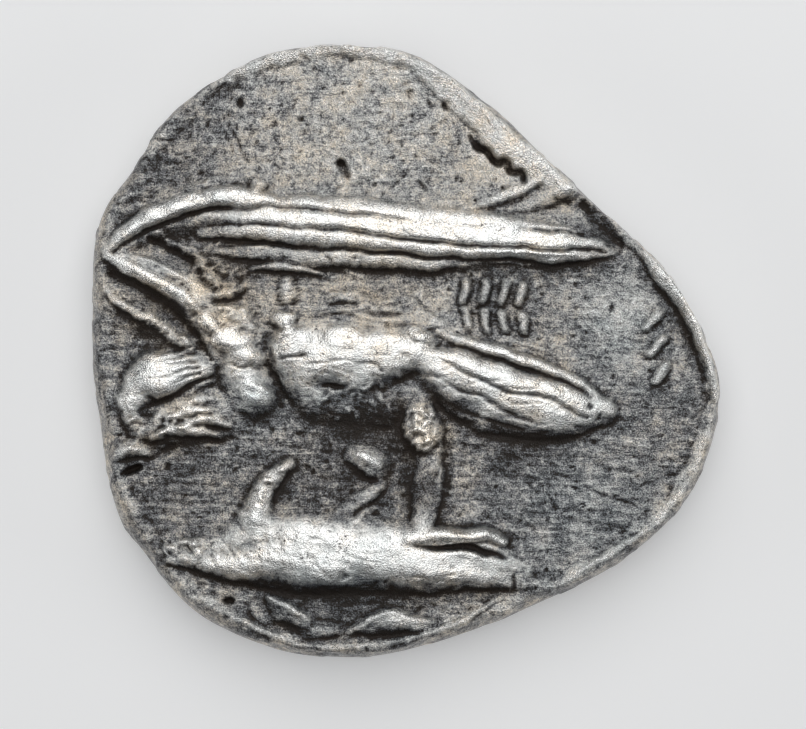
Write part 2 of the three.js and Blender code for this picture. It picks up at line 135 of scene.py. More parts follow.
class ReliefMap:
    def __init__(self):
        self.axis = np.arange(-coin["reach"], coin["reach"] + coin["cell"] / 2, coin["cell"])
        self.x, self.y = np.meshgrid(self.axis, self.axis)
        self.height = np.zeros_like(self.x)
        # the drawing wanders a little, as hand-cut and worn lines do
        self.drawnX, self.drawnY = (flat + 0.030 * grain(flat.shape, 0.32) + 0.013 * grain(flat.shape, 0.10)
                                    for flat in (self.x, self.y))

    # the cells between two corners, and a few more because the drawing wanders
    def window(self, low, high):
        spare = 0.15
        i0, i1 = np.searchsorted(self.axis, [low[1] - spare, high[1] + spare])
        j0, j1 = np.searchsorted(self.axis, [low[0] - spare, high[0] + spare])
        return slice(i0, i1), slice(j0, j1)

    # A roll of metal along a path: height times (1 - (distance / half width) squared) to a power. With a
    # lean its crest lies below the middle, by that share of the half width, and its feet stay in place.
    def roll(self, points, halves, rises, power=0.6, lean=0.0):
        path = smoothPath(points)
        halves, rises = np.atleast_1d(halves).astype(float), np.atleast_1d(rises).astype(float)
        path[:, 1] -= lean * halves.mean()
        widest = halves.max() * (1 + abs(lean))
        cut = self.window(path.min(0) - widest, path.max(0) + widest)
        x, y = self.drawnX[cut], self.drawnY[cut]
        nearest, share, above = np.full(x.shape, 1e9), np.zeros(x.shape), np.zeros(x.shape)
        length = np.r_[0, np.cumsum(np.hypot(*np.diff(path, axis=0).T))]
        for i, ((ax, ay), (dx, dy)) in enumerate(zip(path, np.diff(path, axis=0))):
            t = np.clip(((x - ax) * dx + (y - ay) * dy) / (dx * dx + dy * dy), 0, 1)
            up = y - ay - t * dy
            d = np.hypot(x - ax - t * dx, up)
            near = d < nearest
            nearest = np.where(near, d, nearest)
            above = np.where(near, up, above)
            share = np.where(near, (length[i] + t * (length[i + 1] - length[i])) / length[-1], share)
        half = np.interp(share, np.linspace(0, 1, len(halves)), halves)
        half = half * (1 + lean * above / np.maximum(nearest, 1e-6))
        rise = np.interp(share, np.linspace(0, 1, len(rises)), rises)
        return cut, rise * np.clip(1 - (nearest / half) ** 2, 0, 1) ** power

    # An oval mound with the same cross section.
    def mound(self, centre, radii, turn, rise, power=0.6):
        cut = self.window(np.array(centre) - max(radii), np.array(centre) + max(radii))
        x, y = self.drawnX[cut] - centre[0], self.drawnY[cut] - centre[1]
        c, s = math.cos(math.radians(turn)), math.sin(math.radians(turn))
        inside = 1 - ((x * c + y * s) / radii[0]) ** 2 - ((y * c - x * s) / radii[1]) ** 2
        return cut, rise * np.clip(inside, 0, 1) ** power

    # Joins a shape to what is there, keeping the higher of the two with a small fillet between them.
    def join(self, shape, fillet=0.06):
        cut, p = shape
        h = self.height[cut]
        blend = np.clip(1 - np.abs(h - p) / fillet, 0, 1) ** 2 * fillet / 4
        self.height[cut] = np.maximum(h, p) + blend * np.clip(np.minimum(p, h) / fillet, 0, 1)

    # lays a shape on top of what is there, and cut sinks one into it
    def lay(self, shape):
        cut, p = shape
        self.height[cut] += p

    def cut(self, shape):
        cut, p = shape
        self.height[cut] -= p

    # a seam between two feathers: a soft valley with a narrow line at its bottom
    def seam(self, points, valley, line, fade=1.0):
        self.cut(self.roll(points, 0.16, [valley * 0.4, valley, valley * fade], 1.5))
        self.cut(self.roll(points, [0.04, 0.06, 0.06, 0.04], [line * 0.5, line, line, line * fade], 0.8))

    # small lumps scattered over an oval patch
    def pellets(self, centre, radii, turn, count, size, rise):
        c, s = math.cos(math.radians(turn)), math.sin(math.radians(turn))
        for _ in range(count):
            reach, angle = math.sqrt(seed.random()), seed.random() * 2 * math.pi
            u, v = reach * math.cos(angle) * radii[0], reach * math.sin(angle) * radii[1]
            place = (centre[0] + u * c - v * s, centre[1] + u * s + v * c)
            long = size * (0.7 + 0.8 * seed.random())
            turned, high = seed.random() * 180, rise * (0.5 + seed.random())
            self.lay(self.mound(place, (long, long * 0.6), turned, high, 0.8))


# low swells under the figures, so that none of them starts straight out of flat ground
def swells(m):
    beds = [
        ([(-8.7, 3.1), (-7.5, 3.9), (-6.0, 4.3), (-3.0, 3.9), (1.0, 3.5), (5.8, 3.1)],
         [0.5, 0.85, 1.0, 1.4, 1.3, 0.6], [0.18, 0.30, 0.32, 0.26, 0.22, 0.08]),
        ([(-8.6, 2.8), (-7.2, 2.1), (-6.0, 1.3), (-5.1, 0.2), (-4.7, -1.2)], [0.45, 0.75, 1.0, 1.2, 1.1],
         [0.18, 0.28, 0.31, 0.30, 0.20]),
        ([(-8.9, 1.9), (-7.6, 1.0), (-6.6, 0.2)], [0.3, 0.5, 0.7], [0.08, 0.14, 0.14]),
        ([(-4.2, 1.2), (-1.5, 0.7), (1.0, 0.2), (4.5, -1.1)], [1.3, 1.7, 1.1, 1.4], [0.14, 0.24, 0.16, 0.14]),
        ([(-8.3, -1.5), (-6.5, -1.6), (-5.4, -2.0)], [0.9, 1.3, 0.8], [0.14, 0.20, 0.14]),
        ([(-6.8, -5.9), (-4.5, -5.7), (-2.0, -6.0), (3.4, -6.6)], [0.6, 1.6, 1.5, 0.8],
         [0.08, 0.18, 0.18, 0.10]),
        ([(0.4, -1.5), (0.6, -3.5), (0.5, -5.5)], [0.8, 0.7, 0.7], [0.12, 0.08, 0.12]),
        ([(-1.1, -3.3), (-1.0, -4.0), (-1.4, -4.8)], [0.9, 0.5, 0.6], [0.10, 0.06, 0.08]),
    ]
    for path, halves, rises in beds:
        m.join(m.roll(path, halves, rises, 1.4), 0.3)


def flightFeathers(m):
    # the spread wing: a broad platform whose crest lies low, with the feathers as shingles on it
    m.join(m.roll([(-6.1, 3.62), (-5.4, 3.78), (-4.6, 3.86), (-3.0, 3.80), (-1.0, 3.64), (1.0, 3.42),
                   (3.0, 3.26), (5.0, 3.08), (6.2, 3.10)],
                  [0.20, 0.66, 0.88, 0.92, 0.90, 0.86, 0.78, 0.62, 0.20],
                  [0.14, 0.34, 0.40, 0.41, 0.41, 0.41, 0.40, 0.36, 0.16], 0.42, 0.12), 0.1)
    m.join(m.roll([(-5.7, 2.95), (-4.8, 2.92), (-3.0, 2.84), (-1.0, 2.70), (0.6, 2.58), (1.8, 2.56),
                   (2.4, 2.62)],
                  [0.10, 0.30, 0.34, 0.32, 0.28, 0.18, 0.08], [0.08, 0.22, 0.28, 0.28, 0.27, 0.22, 0.12],
                  0.5), 0.06)
    shingles = [
        ([(-5.3, 4.50), (-4.5, 4.50), (-3.0, 4.44), (-1.0, 4.25), (0.5, 4.06), (2.0, 3.92), (3.5, 3.80),
          (5.4, 3.58)],
         [0.12, 0.24, 0.28, 0.28, 0.26, 0.26, 0.22, 0.12], 0.055),
        ([(-5.7, 4.02), (-4.8, 4.04), (-3.0, 3.96), (-1.0, 3.74), (1.0, 3.50), (3.0, 3.34), (5.9, 3.22)],
         [0.10, 0.28, 0.32, 0.34, 0.38, 0.34, 0.16], 0.055),
        ([(-6.0, 3.46), (-5.0, 3.48), (-3.0, 3.38), (-1.0, 3.18), (1.0, 2.97), (3.0, 2.85), (5.4, 2.74)],
         [0.10, 0.24, 0.27, 0.26, 0.25, 0.23, 0.12], 0.03),
    ]
    for path, halves, rise in shingles:
        m.lay(m.roll(path, halves, [rise * 0.5, rise, rise, rise * 0.6], 0.8, 0.35))
    m.seam([(-5.1, 4.34), (-4.0, 4.28), (-3.0, 4.22), (-1.0, 4.02), (0.2, 3.88)], 0.01, 0.14, 0.3)
    m.seam([(3.4, 3.62), (4.4, 3.56), (5.3, 3.46)], 0.0, 0.12)
    m.seam([(-5.9, 3.72), (-4.0, 3.70), (-2.0, 3.54), (0.0, 3.30), (2.0, 3.10), (4.0, 2.98), (6.0, 2.95)],
           0.02, 0.11)
    m.seam([(-6.0, 3.20), (-4.0, 3.15), (-2.0, 3.00), (0.0, 2.83), (2.0, 2.68), (4.0, 2.56), (5.0, 2.50)],
           0.03, 0.11)
    crests = [
        ([(-4.6, 3.06), (-3.0, 2.98), (-1.0, 2.84), (0.5, 2.69), (1.8, 2.60)], 0.09, 0.04),
        ([(1.5, 2.98), (3.0, 2.88), (4.8, 2.82), (5.5, 2.62)], 0.09, 0.04),
        ([(-2.30, 2.22), (-1.90, 2.15)], 0.08, 0.08),
        ([(-1.90, 2.40), (-1.10, 2.15)], 0.08, 0.08),
    ]
    for path, half, rise in crests:
        m.lay(m.roll(path, [half * 0.5, half, half, half * 0.5], [rise * 0.5, rise, rise, rise * 0.5], 0.7))
    m.join(m.roll([(-4.65, 2.40), (-4.0, 2.50), (-3.0, 2.45), (-2.45, 2.30)], [0.06, 0.15, 0.14, 0.06],
                  [0.14, 0.27, 0.27, 0.14]))
    m.cut(m.roll([(-2.50, 2.92), (-2.35, 2.78), (-2.20, 2.62)], 0.04, 0.08, 0.8))


def wingArms(m):
    m.join(m.roll([(-8.85, 3.07), (-8.5, 3.42), (-8.0, 3.74), (-7.4, 4.01), (-6.7, 4.26), (-6.1, 4.42),
                   (-5.5, 4.52), (-4.7, 4.52), (-3.8, 4.46)],
                  [0.14, 0.30, 0.36, 0.36, 0.37, 0.35, 0.38, 0.36, 0.22],
                  [0.24, 0.37, 0.41, 0.41, 0.43, 0.41, 0.44, 0.43, 0.40], 0.4, 0.15), 0.06)
    m.seam([(-8.75, 3.00), (-8.0, 3.42), (-7.4, 3.68), (-6.7, 3.96), (-6.0, 4.14), (-5.2, 4.26)], 0.06, 0.12)
    m.cut(m.roll([(-6.18, 4.72), (-6.06, 4.50), (-6.12, 4.25)], 0.05, 0.08, 0.8))
    for x, y in [(-7.62, 4.0), (-6.85, 4.2), (-5.65, 4.56), (-5.15, 4.60), (-8.15, 3.7)]:
        m.lay(m.mound((x, y), (0.26, 0.20), 20, 0.03, 0.9))
    m.lay(m.roll([(-6.2, 4.92), (-5.6, 5.03), (-5.0, 5.15), (-4.6, 5.20), (-4.05, 5.06)],
                 [0.10, 0.18, 0.20, 0.18, 0.12], [0.04, 0.08, 0.09, 0.08, 0.04], 0.8))
    m.cut(m.mound((-4.42, 4.93), (0.34, 0.22), 0, 0.03, 0.8))
    m.lay(m.mound((-4.42, 4.98), (0.29, 0.19), 0, 0.20, 0.6))
    for x, y in [(-7.1, 4.75), (-8.1, 4.75), (-8.2, 4.30)]:
        m.lay(m.mound((x, y), (0.36, 0.16), 15, 0.07, 0.8))
    # the lower arm: a flank, the roll itself, the strand beside it and three beads at the shoulder
    m.join(m.roll([(-8.4, 2.45), (-7.3, 1.82), (-6.5, 1.15), (-5.9, 0.45), (-5.55, -0.3)],
                  [0.15, 0.28, 0.32, 0.36, 0.40], [0.12, 0.24, 0.28, 0.30, 0.30], 1.0), 0.1)
    m.join(m.roll([(-8.85, 2.92), (-8.4, 2.62), (-7.5, 2.14), (-7.0, 1.82), (-6.4, 1.38), (-5.8, 0.80),
                   (-5.3, 0.20)],
                  [0.16, 0.34, 0.38, 0.38, 0.38, 0.42, 0.50], [0.22, 0.37, 0.42, 0.41, 0.38, 0.38, 0.40],
                  0.5, 0.1), 0.06)
    for x, y in [(-7.9, 2.38), (-7.45, 2.12), (-7.0, 1.82)]:
        m.lay(m.mound((x, y), (0.30, 0.22), -35, 0.04, 0.8))
    m.join(m.roll([(-8.3, 2.90), (-7.73, 2.66), (-7.17, 2.40), (-6.49, 1.98), (-6.1, 1.58), (-5.7, 1.16)],
                  [0.06, 0.10, 0.11, 0.12, 0.10, 0.07], [0.18, 0.28, 0.30, 0.32, 0.32, 0.26], 0.7), 0.02)
    m.seam([(-8.4, 2.80), (-7.7, 2.46), (-7.0, 2.06), (-6.5, 1.70), (-6.1, 1.26)], 0.02, 0.08)
    beads = [((-6.38, 1.40), (0.34, 0.28), 0.12), ((-5.85, 0.86), (0.36, 0.30), 0.14),
             ((-5.30, 0.26), (0.56, 0.44), 0.16)]
    for centre, radii, rise in beads:
        m.lay(m.mound(centre, radii, -40, rise, 0.7))
    for x, y in [(-6.12, 1.13), (-5.62, 0.60)]:
        m.cut(m.roll([(x - 0.20, y - 0.18), (x + 0.20, y + 0.18)], 0.045, 0.05, 0.8))
    m.join(m.mound((-4.92, 0.90), (0.70, 0.42), -55, 0.30, 0.8), 0.1)


# Small feathers stepping down to the right between the rolls, rough ground below them, and the stub
# of a feather with its barbs.
def coverts(m):
    curls = [
        (-7.35, 3.42, 0.28, 0.16, -20, 0.16), (-6.95, 3.18, 0.26, 0.14, -20, 0.16),
        (-6.49, 2.96, 0.34, 0.19, -20, 0.22), (-6.15, 2.60, 0.34, 0.19, -35, 0.22),
        (-5.82, 2.20, 0.44, 0.22, -42, 0.25), (-5.28, 1.76, 0.46, 0.26, 14, 0.25),
    ]
    for x, y, long, short, turn, rise in curls:
        m.cut(m.mound((x - 0.05, y - 0.12), (long * 1.2, short * 1.4), turn, 0.12, 0.7))
        m.lay(m.mound((x, y), (long, short), turn, rise, 0.6))
    m.pellets((-4.95, 0.85), (0.95, 0.45), -55, 90, 0.10, 0.035)
    m.pellets((-5.9, 2.3), (1.4, 0.50), -42, 110, 0.10, 0.04)
    m.pellets((-5.2, 2.0), (0.9, 0.6), 0, 50, 0.10, 0.04)
    m.join(m.mound((-3.55, 1.80), (0.30, 0.48), 8, 0.30, 0.4), 0.03)
    for k in range(6):
        y = 2.10 - 0.13 * k
        m.cut(m.roll([(-3.86, y - 0.05), (-3.26, y + 0.03)], 0.04, 0.07, 0.8))


# the other wing, seen as one thin roll, and the hollow between it and the near one
def farWing(m):
    m.join(m.roll([(-9.0, 1.95), (-8.8, 1.70), (-8.5, 1.45), (-8.0, 1.15), (-7.6, 1.00), (-7.2, 0.75),
                   (-6.95, 0.45), (-6.5, 0.15)],
                  [0.08, 0.16, 0.20, 0.22, 0.22, 0.22, 0.26, 0.30],
                  [0.12, 0.22, 0.25, 0.26, 0.26, 0.26, 0.28, 0.28], 0.8, 0.2), 0.05)
    m.pellets((-7.6, 1.0), (1.3, 0.22), -35, 60, 0.10, 0.045)
    m.pellets((-6.9, 0.35), (0.45, 0.35), -35, 24, 0.08, 0.04)
    m.cut(m.roll([(-8.9, 2.3), (-8.0, 1.95), (-7.3, 1.50), (-6.8, 1.05), (-6.4, 0.55), (-6.05, 0.0),
                  (-5.95, -0.6)],
                 [0.12, 0.20, 0.24, 0.26, 0.26, 0.22, 0.16], 0.09, 1.2))


# wavy strands over the back that draw together towards the tail
def backFeathers(m):
    for k in range(5):
        up = 0.17 * k
        wave = 0.05 * math.sin(2.3 * k)
        m.lay(m.roll([(-2.6, 0.98 + up), (-1.9, 1.02 + up + wave), (-1.2, 0.86 + up),
                      (-0.5, 0.80 + up - wave), (0.1, 0.92 + 0.9 * up), (0.7, 0.68 + 0.6 * up),
                      (1.45, 0.30 + 0.3 * up)],
                     [0.05, 0.09, 0.10, 0.09, 0.09, 0.08, 0.05],
                     [0.02, 0.06, 0.07, 0.06, 0.07, 0.06, 0.03], 0.8))
    m.pellets((-1.0, 1.35), (1.6, 0.5), -4, 130, 0.08, 0.03)


def trunk(m):
    # the breast, which bulges left of the body and runs up into the shoulder
    m.join(m.roll([(-5.05, 0.15), (-4.92, -0.55), (-4.62, -1.30)], [0.62, 0.80, 0.76], [0.44, 0.40, 0.30],
                  0.7), 0.12)
    m.join(m.mound((-4.85, -0.22), (0.75, 0.42), 5, 0.48, 0.5), 0.12)
    m.lay(m.mound((-4.50, -1.28), (0.50, 0.42), -10, 0.10, 0.8))
    m.lay(m.roll([(-4.85, -1.0), (-4.5, -1.02), (-4.15, -1.22)], 0.13, 0.05, 0.8))
    m.pellets((-4.75, -0.85), (0.6, 0.45), 0, 40, 0.09, 0.015)
    # the body's dark underside and its lower left flank, then the body and the lumps along its upper edge
    m.join(m.roll([(-2.6, -1.25), (-1.3, -1.35), (-0.2, -1.25), (0.7, -0.9)], [0.9, 1.0, 0.95, 0.6],
                  [0.24, 0.24, 0.22, 0.14], 1.2), 0.15)
    m.join(m.roll([(-3.35, -0.2), (-3.10, -0.8), (-2.75, -1.35)], [0.74, 0.76, 0.60], [0.42, 0.36, 0.26],
                  0.9), 0.15)
    m.join(m.roll([(-3.35, 0.10), (-2.4, -0.06), (-1.3, -0.18), (-0.5, -0.10), (0.25, 0.02)],
                  [0.90, 1.15, 1.22, 1.02, 0.70], [0.48, 0.51, 0.52, 0.51, 0.46], 0.65, 0.12), 0.15)
    lumps = [
        ((-3.42, 0.28), (0.62, 0.50), 0, 0.09), ((-3.65, 1.00), (0.46, 0.26), 5, 0.22),
        ((-3.55, 0.68), (0.34, 0.30), 0, 0.10), ((-1.85, 0.42), (0.55, 0.42), 0, 0.07),
        ((0.40, 0.50), (0.50, 0.24), -25, 0.16), ((-0.45, 0.15), (0.60, 0.36), 0, 0.05),
        ((-2.6, 0.35), (0.22, 0.30), 0, -0.05), ((-1.1, 0.58), (0.25, 0.16), 0, -0.04),
    ]
    for centre, radii, turn, rise in lumps:
        m.lay(m.mound(centre, radii, turn, rise, 0.7))
    m.pellets((-1.4, -1.5), (1.7, 0.55), 0, 90, 0.10, 0.03)
    m.pellets((-1.2, -0.6), (1.6, 0.5), -8, 60, 0.10, 0.012)
    cracks = [
        ([(-3.72, -0.22), (-3.3, -0.18), (-2.95, -0.13)], 0.045, 0.11),
        ([(-2.88, -0.33), (-2.4, -0.36), (-1.83, -0.34), (-1.2, -0.36)], 0.03, 0.06),
        ([(-1.15, -0.38), (-0.9, -0.42), (-0.72, -0.62)], 0.045, 0.08),
        ([(-5.2, -0.46), (-4.95, -0.58), (-4.6, -0.46)], 0.03, 0.07),
        ([(-4.02, 0.1), (-3.9, -0.8), (-3.75, -1.7)], 0.14, 0.05),
    ]
    for path, half, depth in cracks:
        m.cut(m.roll(path, half, depth, 0.8))
    m.cut(m.mound((-2.15, -1.06), (0.36, 0.10), -8, 0.14, 0.7))


def tail(m):
    # a mass whose crest lies along the white feather and that falls off slowly to its lower edge
    m.join(m.roll([(0.7, -0.55), (1.8, -0.92), (2.9, -1.32), (4.2, -1.72), (5.2, -1.90), (5.9, -1.98)],
                  [0.60, 1.00, 1.15, 1.05, 0.85, 0.45], [0.40, 0.45, 0.46, 0.46, 0.42, 0.30],
                  0.7, -0.4), 0.12)
    m.lay(m.roll([(0.95, -0.10), (1.8, -0.28), (2.8, -0.72), (3.8, -0.98), (4.8, -1.38), (5.5, -1.75)],
                 [0.18, 0.32, 0.42, 0.38, 0.36, 0.26], [0.03, 0.06, 0.06, 0.06, 0.05, 0.03], 0.8, 0.3))
    m.join(m.roll([(0.95, 0.52), (1.5, 0.28), (2.3, 0.14), (3.0, -0.10), (4.0, -0.50), (5.0, -0.92),
                   (5.8, -1.45)],
                  [0.12, 0.22, 0.24, 0.24, 0.24, 0.22, 0.14], [0.24, 0.32, 0.36, 0.36, 0.35, 0.33, 0.26],
                  0.5, 0.2), 0.06)
    m.seam([(1.0, 0.10), (2.0, 0.00), (3.0, -0.33), (4.0, -0.72), (5.0, -1.12), (5.7, -1.60)], 0.0, 0.06)
    m.seam([(0.85, -0.20), (1.58, -0.56), (2.15, -0.84), (2.7, -1.12), (3.2, -1.24), (4.0, -1.38),
            (5.4, -2.00)], 0.0, 0.08)
    m.seam([(0.85, -0.66), (1.5, -1.04), (2.15, -1.38), (3.04, -1.82), (3.8, -2.04)], 0.02, 0.05)
    m.seam([(0.95, -1.25), (1.6, -1.72), (2.5, -2.08), (3.5, -2.35)], 0.01, 0.04)
    for up in (0.22, 0.42):
        m.lay(m.roll([(3.2, -0.12 + up), (4.4, -0.5 + up), (5.3, -0.95 + up)], 0.06, 0.05, 0.8))
    m.cut(m.roll([(4.5, -1.18), (4.72, -1.32), (4.68, -1.48)], 0.03, 0.07, 0.8))
    m.cut(m.roll([(3.05, -1.0), (3.3, -1.12), (3.8, -1.16)], 0.03, 0.06, 0.8))
    m.cut(m.mound((5.48, -1.66), (0.10, 0.14), 0, 0.14))


def head(m):
    # the head turned back, as one mass, and the soft folds of the neck below it
    m.join(m.roll([(-8.15, -1.45), (-7.75, -0.95), (-7.0, -0.72), (-6.2, -0.62)], [0.55, 0.80, 0.82, 0.60],
                  [0.36, 0.50, 0.49, 0.36], 0.6), 0.12)
    m.join(m.roll([(-8.3, -1.4), (-8.2, -1.9), (-8.0, -2.35)], [0.45, 0.42, 0.30], [0.30, 0.27, 0.16],
                  0.8), 0.2)
    m.join(m.mound((-6.6, -2.10), (1.45, 0.85), 8, 0.26, 0.9), 0.15)
    for k in range(6):
        x0, x1 = -7.80 + 0.20 * k, -6.35 + 0.06 * k
        y0, y1 = -0.20 - 0.21 * k, 0.06 - 0.19 * k
        m.cut(m.roll([(x0, y0), ((x0 + x1) / 2, (y0 + y1) / 2 + 0.05), (x1, y1)], [0.02, 0.045, 0.05],
                     [0.02, 0.07, 0.10], 0.8))
    m.cut(m.roll([(-8.0, -1.75), (-7.5, -1.60), (-6.9, -1.38), (-6.2, -0.98), (-5.8, -0.85)],
                 [0.05, 0.10, 0.11, 0.08], [0.03, 0.09, 0.11, 0.08], 1.0))
    m.lay(m.roll([(-8.35, -2.10), (-8.0, -1.95), (-7.82, -2.15), (-7.95, -2.40)], 0.07, 0.06, 0.8))
    folds = [
        ([(-6.75, -1.66), (-6.1, -1.46), (-5.7, -1.44)], 0.17, 0.13),
        ([(-7.05, -2.02), (-6.4, -1.82), (-5.8, -1.80)], 0.18, 0.14),
        ([(-6.6, -2.26), (-5.9, -2.12), (-5.3, -2.26)], 0.18, 0.13),
        ([(-7.6, -2.60), (-7.0, -2.45), (-6.3, -2.47), (-5.6, -2.60)], 0.19, 0.15),
        ([(-8.0, -2.62), (-7.5, -2.20), (-7.2, -1.85)], 0.22, 0.08),
        ([(-8.65, -3.08), (-8.2, -2.90), (-7.8, -3.00)], 0.33, 0.26),
    ]
    for path, half, rise in folds:
        m.lay(m.roll(path, [half * 0.6, half, half * 0.6], [rise * 0.6, rise, rise * 0.6], 0.7, 0.2))
    m.pellets((-6.4, -2.0), (1.1, 0.5), -5, 60, 0.08, 0.05)
    m.pellets((-7.1, -2.5), (0.4, 0.15), 15, 14, 0.09, 0.07)
    m.pellets((-8.15, -2.9), (0.3, 0.15), 0, 10, 0.09, 0.06)
    m.cut(m.roll([(-7.8, -3.22), (-7.2, -3.02), (-6.8, -2.80), (-6.0, -2.72), (-5.2, -2.68)],
                 0.14, 0.07, 1.0))
    m.cut(m.mound((-8.24, -3.60), (0.36, 0.14), 22, 0.26))


def legs(m):
    # the thigh with its rough feathers, the shank between two shallow channels, and the other foot's claws
    m.join(m.roll([(0.2, -1.2), (0.4, -1.8)], 0.5, [0.22, 0.28]), 0.15)
    m.join(m.mound((0.50, -2.35), (0.68, 0.82), 0, 0.33, 0.5), 0.12)
    m.pellets((0.50, -2.30), (0.58, 0.75), 0, 70, 0.12, 0.055)
    m.join(m.roll([(0.74, -3.00), (0.68, -3.80), (0.58, -4.70), (0.50, -5.50)], [0.40, 0.42, 0.40, 0.36],
                  [0.15, 0.17, 0.22, 0.38], 0.3))
    m.pellets((0.62, -4.3), (0.30, 1.0), -4, 40, 0.09, 0.02)
    for side in (-0.54, 0.54):
        m.cut(m.roll([(0.70 + side, -2.9), (0.66 + side, -3.9), (0.55 + side * 0.95, -5.2)], 0.20, 0.07, 1.0))
    m.lay(m.mound((-1.12, -3.30), (0.80, 0.52), -25, 0.24, 0.8))
    m.lay(m.roll([(-1.45, -3.10), (-1.1, -3.18), (-0.75, -3.46)], [0.10, 0.20, 0.14], 0.07, 0.9))
    m.pellets((-1.1, -3.5), (0.6, 0.4), -25, 30, 0.08, 0.02)
    claws = [
        ([(-0.72, -4.02), (-1.30, -4.42), (-1.95, -4.80)], [0.20, 0.27, 0.24], [0.13, 0.17, 0.16]),
        ([(-0.95, -4.66), (-1.3, -4.92), (-1.65, -5.20)], [0.10, 0.17, 0.16], [0.10, 0.16, 0.16]),
    ]
    for path, halves, rises in claws:
        m.lay(m.roll(path, halves, rises, 0.5))
    m.cut(m.roll([(-0.95, -4.52), (-1.3, -4.70), (-1.62, -4.88)], 0.05, 0.05, 0.8))
    for path in ([(-0.55, -4.10), (-1.0, -4.75), (-1.5, -5.25)],
                 [(-1.75, -3.35), (-1.2, -3.80), (-0.65, -3.98)]):
        m.cut(m.roll(path, [0.08, 0.15, 0.10], [0.05, 0.09, 0.06], 1.0))
    for path in ([(1.5, -2.70), (2.2, -2.80)], [(1.6, -3.60), (2.0, -3.75)], [(1.1, -4.15), (1.3, -4.25)]):
        m.lay(m.roll(path, 0.08, 0.06, 0.7))


def dolphin(m):
    # a long swell whose upper slope leans on the ground and whose crest lies low, above the dark belly
    m.join(m.roll([(-7.0, -5.95), (-6.2, -5.90), (-5.4, -5.80), (-4.5, -5.55), (-3.0, -5.65), (-1.2, -5.75),
                   (0.6, -5.95), (2.2, -6.15), (3.6, -6.60)],
                  [0.25, 0.50, 0.75, 1.00, 0.95, 0.80, 0.72, 0.70, 0.30],
                  [0.14, 0.28, 0.36, 0.42, 0.42, 0.42, 0.42, 0.38, 0.20], 0.7), 0.2)
    m.join(m.roll([(-7.0, -6.20), (-6.2, -6.25), (-5.4, -6.35), (-4.4, -6.35), (-3.0, -6.30), (-1.2, -6.28),
                   (0.6, -6.50), (2.2, -6.70), (3.4, -6.90), (4.1, -7.0)],
                  [0.20, 0.45, 0.75, 0.95, 1.05, 1.00, 0.80, 0.58, 0.35, 0.14],
                  [0.16, 0.34, 0.43, 0.48, 0.50, 0.50, 0.47, 0.42, 0.28, 0.12], 0.85), 0.2)
    m.join(m.roll([(-4.45, -5.0), (-4.35, -4.5), (-4.05, -3.9), (-3.5, -3.42)], [0.62, 0.40, 0.34, 0.22],
                  [0.42, 0.34, 0.30, 0.20], 0.6), 0.12)
    m.pellets((-4.1, -4.1), (0.9, 0.3), 55, 26, 0.12, 0.05)
    m.pellets((-6.6, -5.9), (0.6, 0.35), 0, 30, 0.13, 0.07)
    m.join(m.roll([(0.1, -5.62), (1.0, -5.52), (1.8, -5.50), (2.5, -5.52), (2.85, -5.72)],
                  [0.34, 0.30, 0.28, 0.28, 0.20], [0.46, 0.50, 0.48, 0.48, 0.36], 0.5), 0.12)
    m.cut(m.roll([(0.25, -5.84), (1.0, -5.92), (1.8, -5.88), (2.4, -6.02), (3.0, -6.22)],
                 [0.03, 0.09, 0.13, 0.14, 0.05], [0.10, 0.24, 0.28, 0.26, 0.08]))
    # two fins below the belly, each a wedge with a bright upper edge
    m.join(m.roll([(-4.1, -7.45), (-3.6, -7.78), (-3.1, -8.15)], [0.16, 0.42, 0.34], [0.14, 0.24, 0.20],
                  1.0, -0.3), 0.06)
    m.lay(m.roll([(-4.1, -7.34), (-3.5, -7.66), (-3.05, -7.98)], 0.11, 0.08, 0.8))
    m.join(m.mound((-2.6, -8.35), (0.75, 0.26), 3, 0.20, 0.8), 0.06)
    m.join(m.roll([(-1.7, -8.40), (-1.0, -8.18), (-0.35, -8.05), (0.3, -8.14), (0.95, -8.20)],
                  [0.14, 0.36, 0.48, 0.36, 0.10], [0.14, 0.24, 0.28, 0.24, 0.10], 1.0, -0.3), 0.06)
    m.lay(m.roll([(-1.5, -8.22), (-0.9, -7.92), (-0.4, -7.74), (0.2, -7.90), (0.8, -8.04)], 0.12, 0.07, 0.8))
    scratches = [
        ([(-5.05, -5.2), (-4.5, -5.7)], 0.03), ([(-5.5, -5.6), (-5.2, -6.0), (-5.0, -6.3)], 0.035),
        ([(-3.0, -6.0), (-2.6, -6.4), (-2.2, -6.8)], 0.03), ([(-1.9, -6.1), (-1.6, -6.6)], 0.03),
        ([(-5.78, -5.7), (-5.82, -6.0), (-5.74, -6.3)], 0.05),
        ([(3.18, -6.75), (3.25, -7.05), (3.24, -7.35)], 0.07),
        ([(0.2, -6.7), (1.2, -6.85), (2.2, -6.95)], 0.03),
    ]
    for path, half in scratches:
        m.cut(m.roll(path, half, half * 1.2, 0.8))
    m.pellets((-3.5, -5.9), (2.6, 0.5), 0, 120, 0.10, 0.02)


# plain strokes in two rows beside the bird, and a short row near the right edge
def strokes(m):
    rows = [(1.78, 1.74, 0.56, 0.0, 4, 0.05, 0.26), (1.84, 0.96, 0.56, -0.04, 4, -0.04, 0.24),
            (7.35, 0.9, 0.12, -0.8, 3, 0.16, 0.22)]
    for x, y, stepX, stepY, count, lean, half in rows:
        for k in range(count):
            cx, cy = x + stepX * k, y + stepY * k
            m.lay(m.roll([(cx - lean, cy - half), (cx + lean, cy + half)], [0.13, 0.15], 0.17, 0.5))


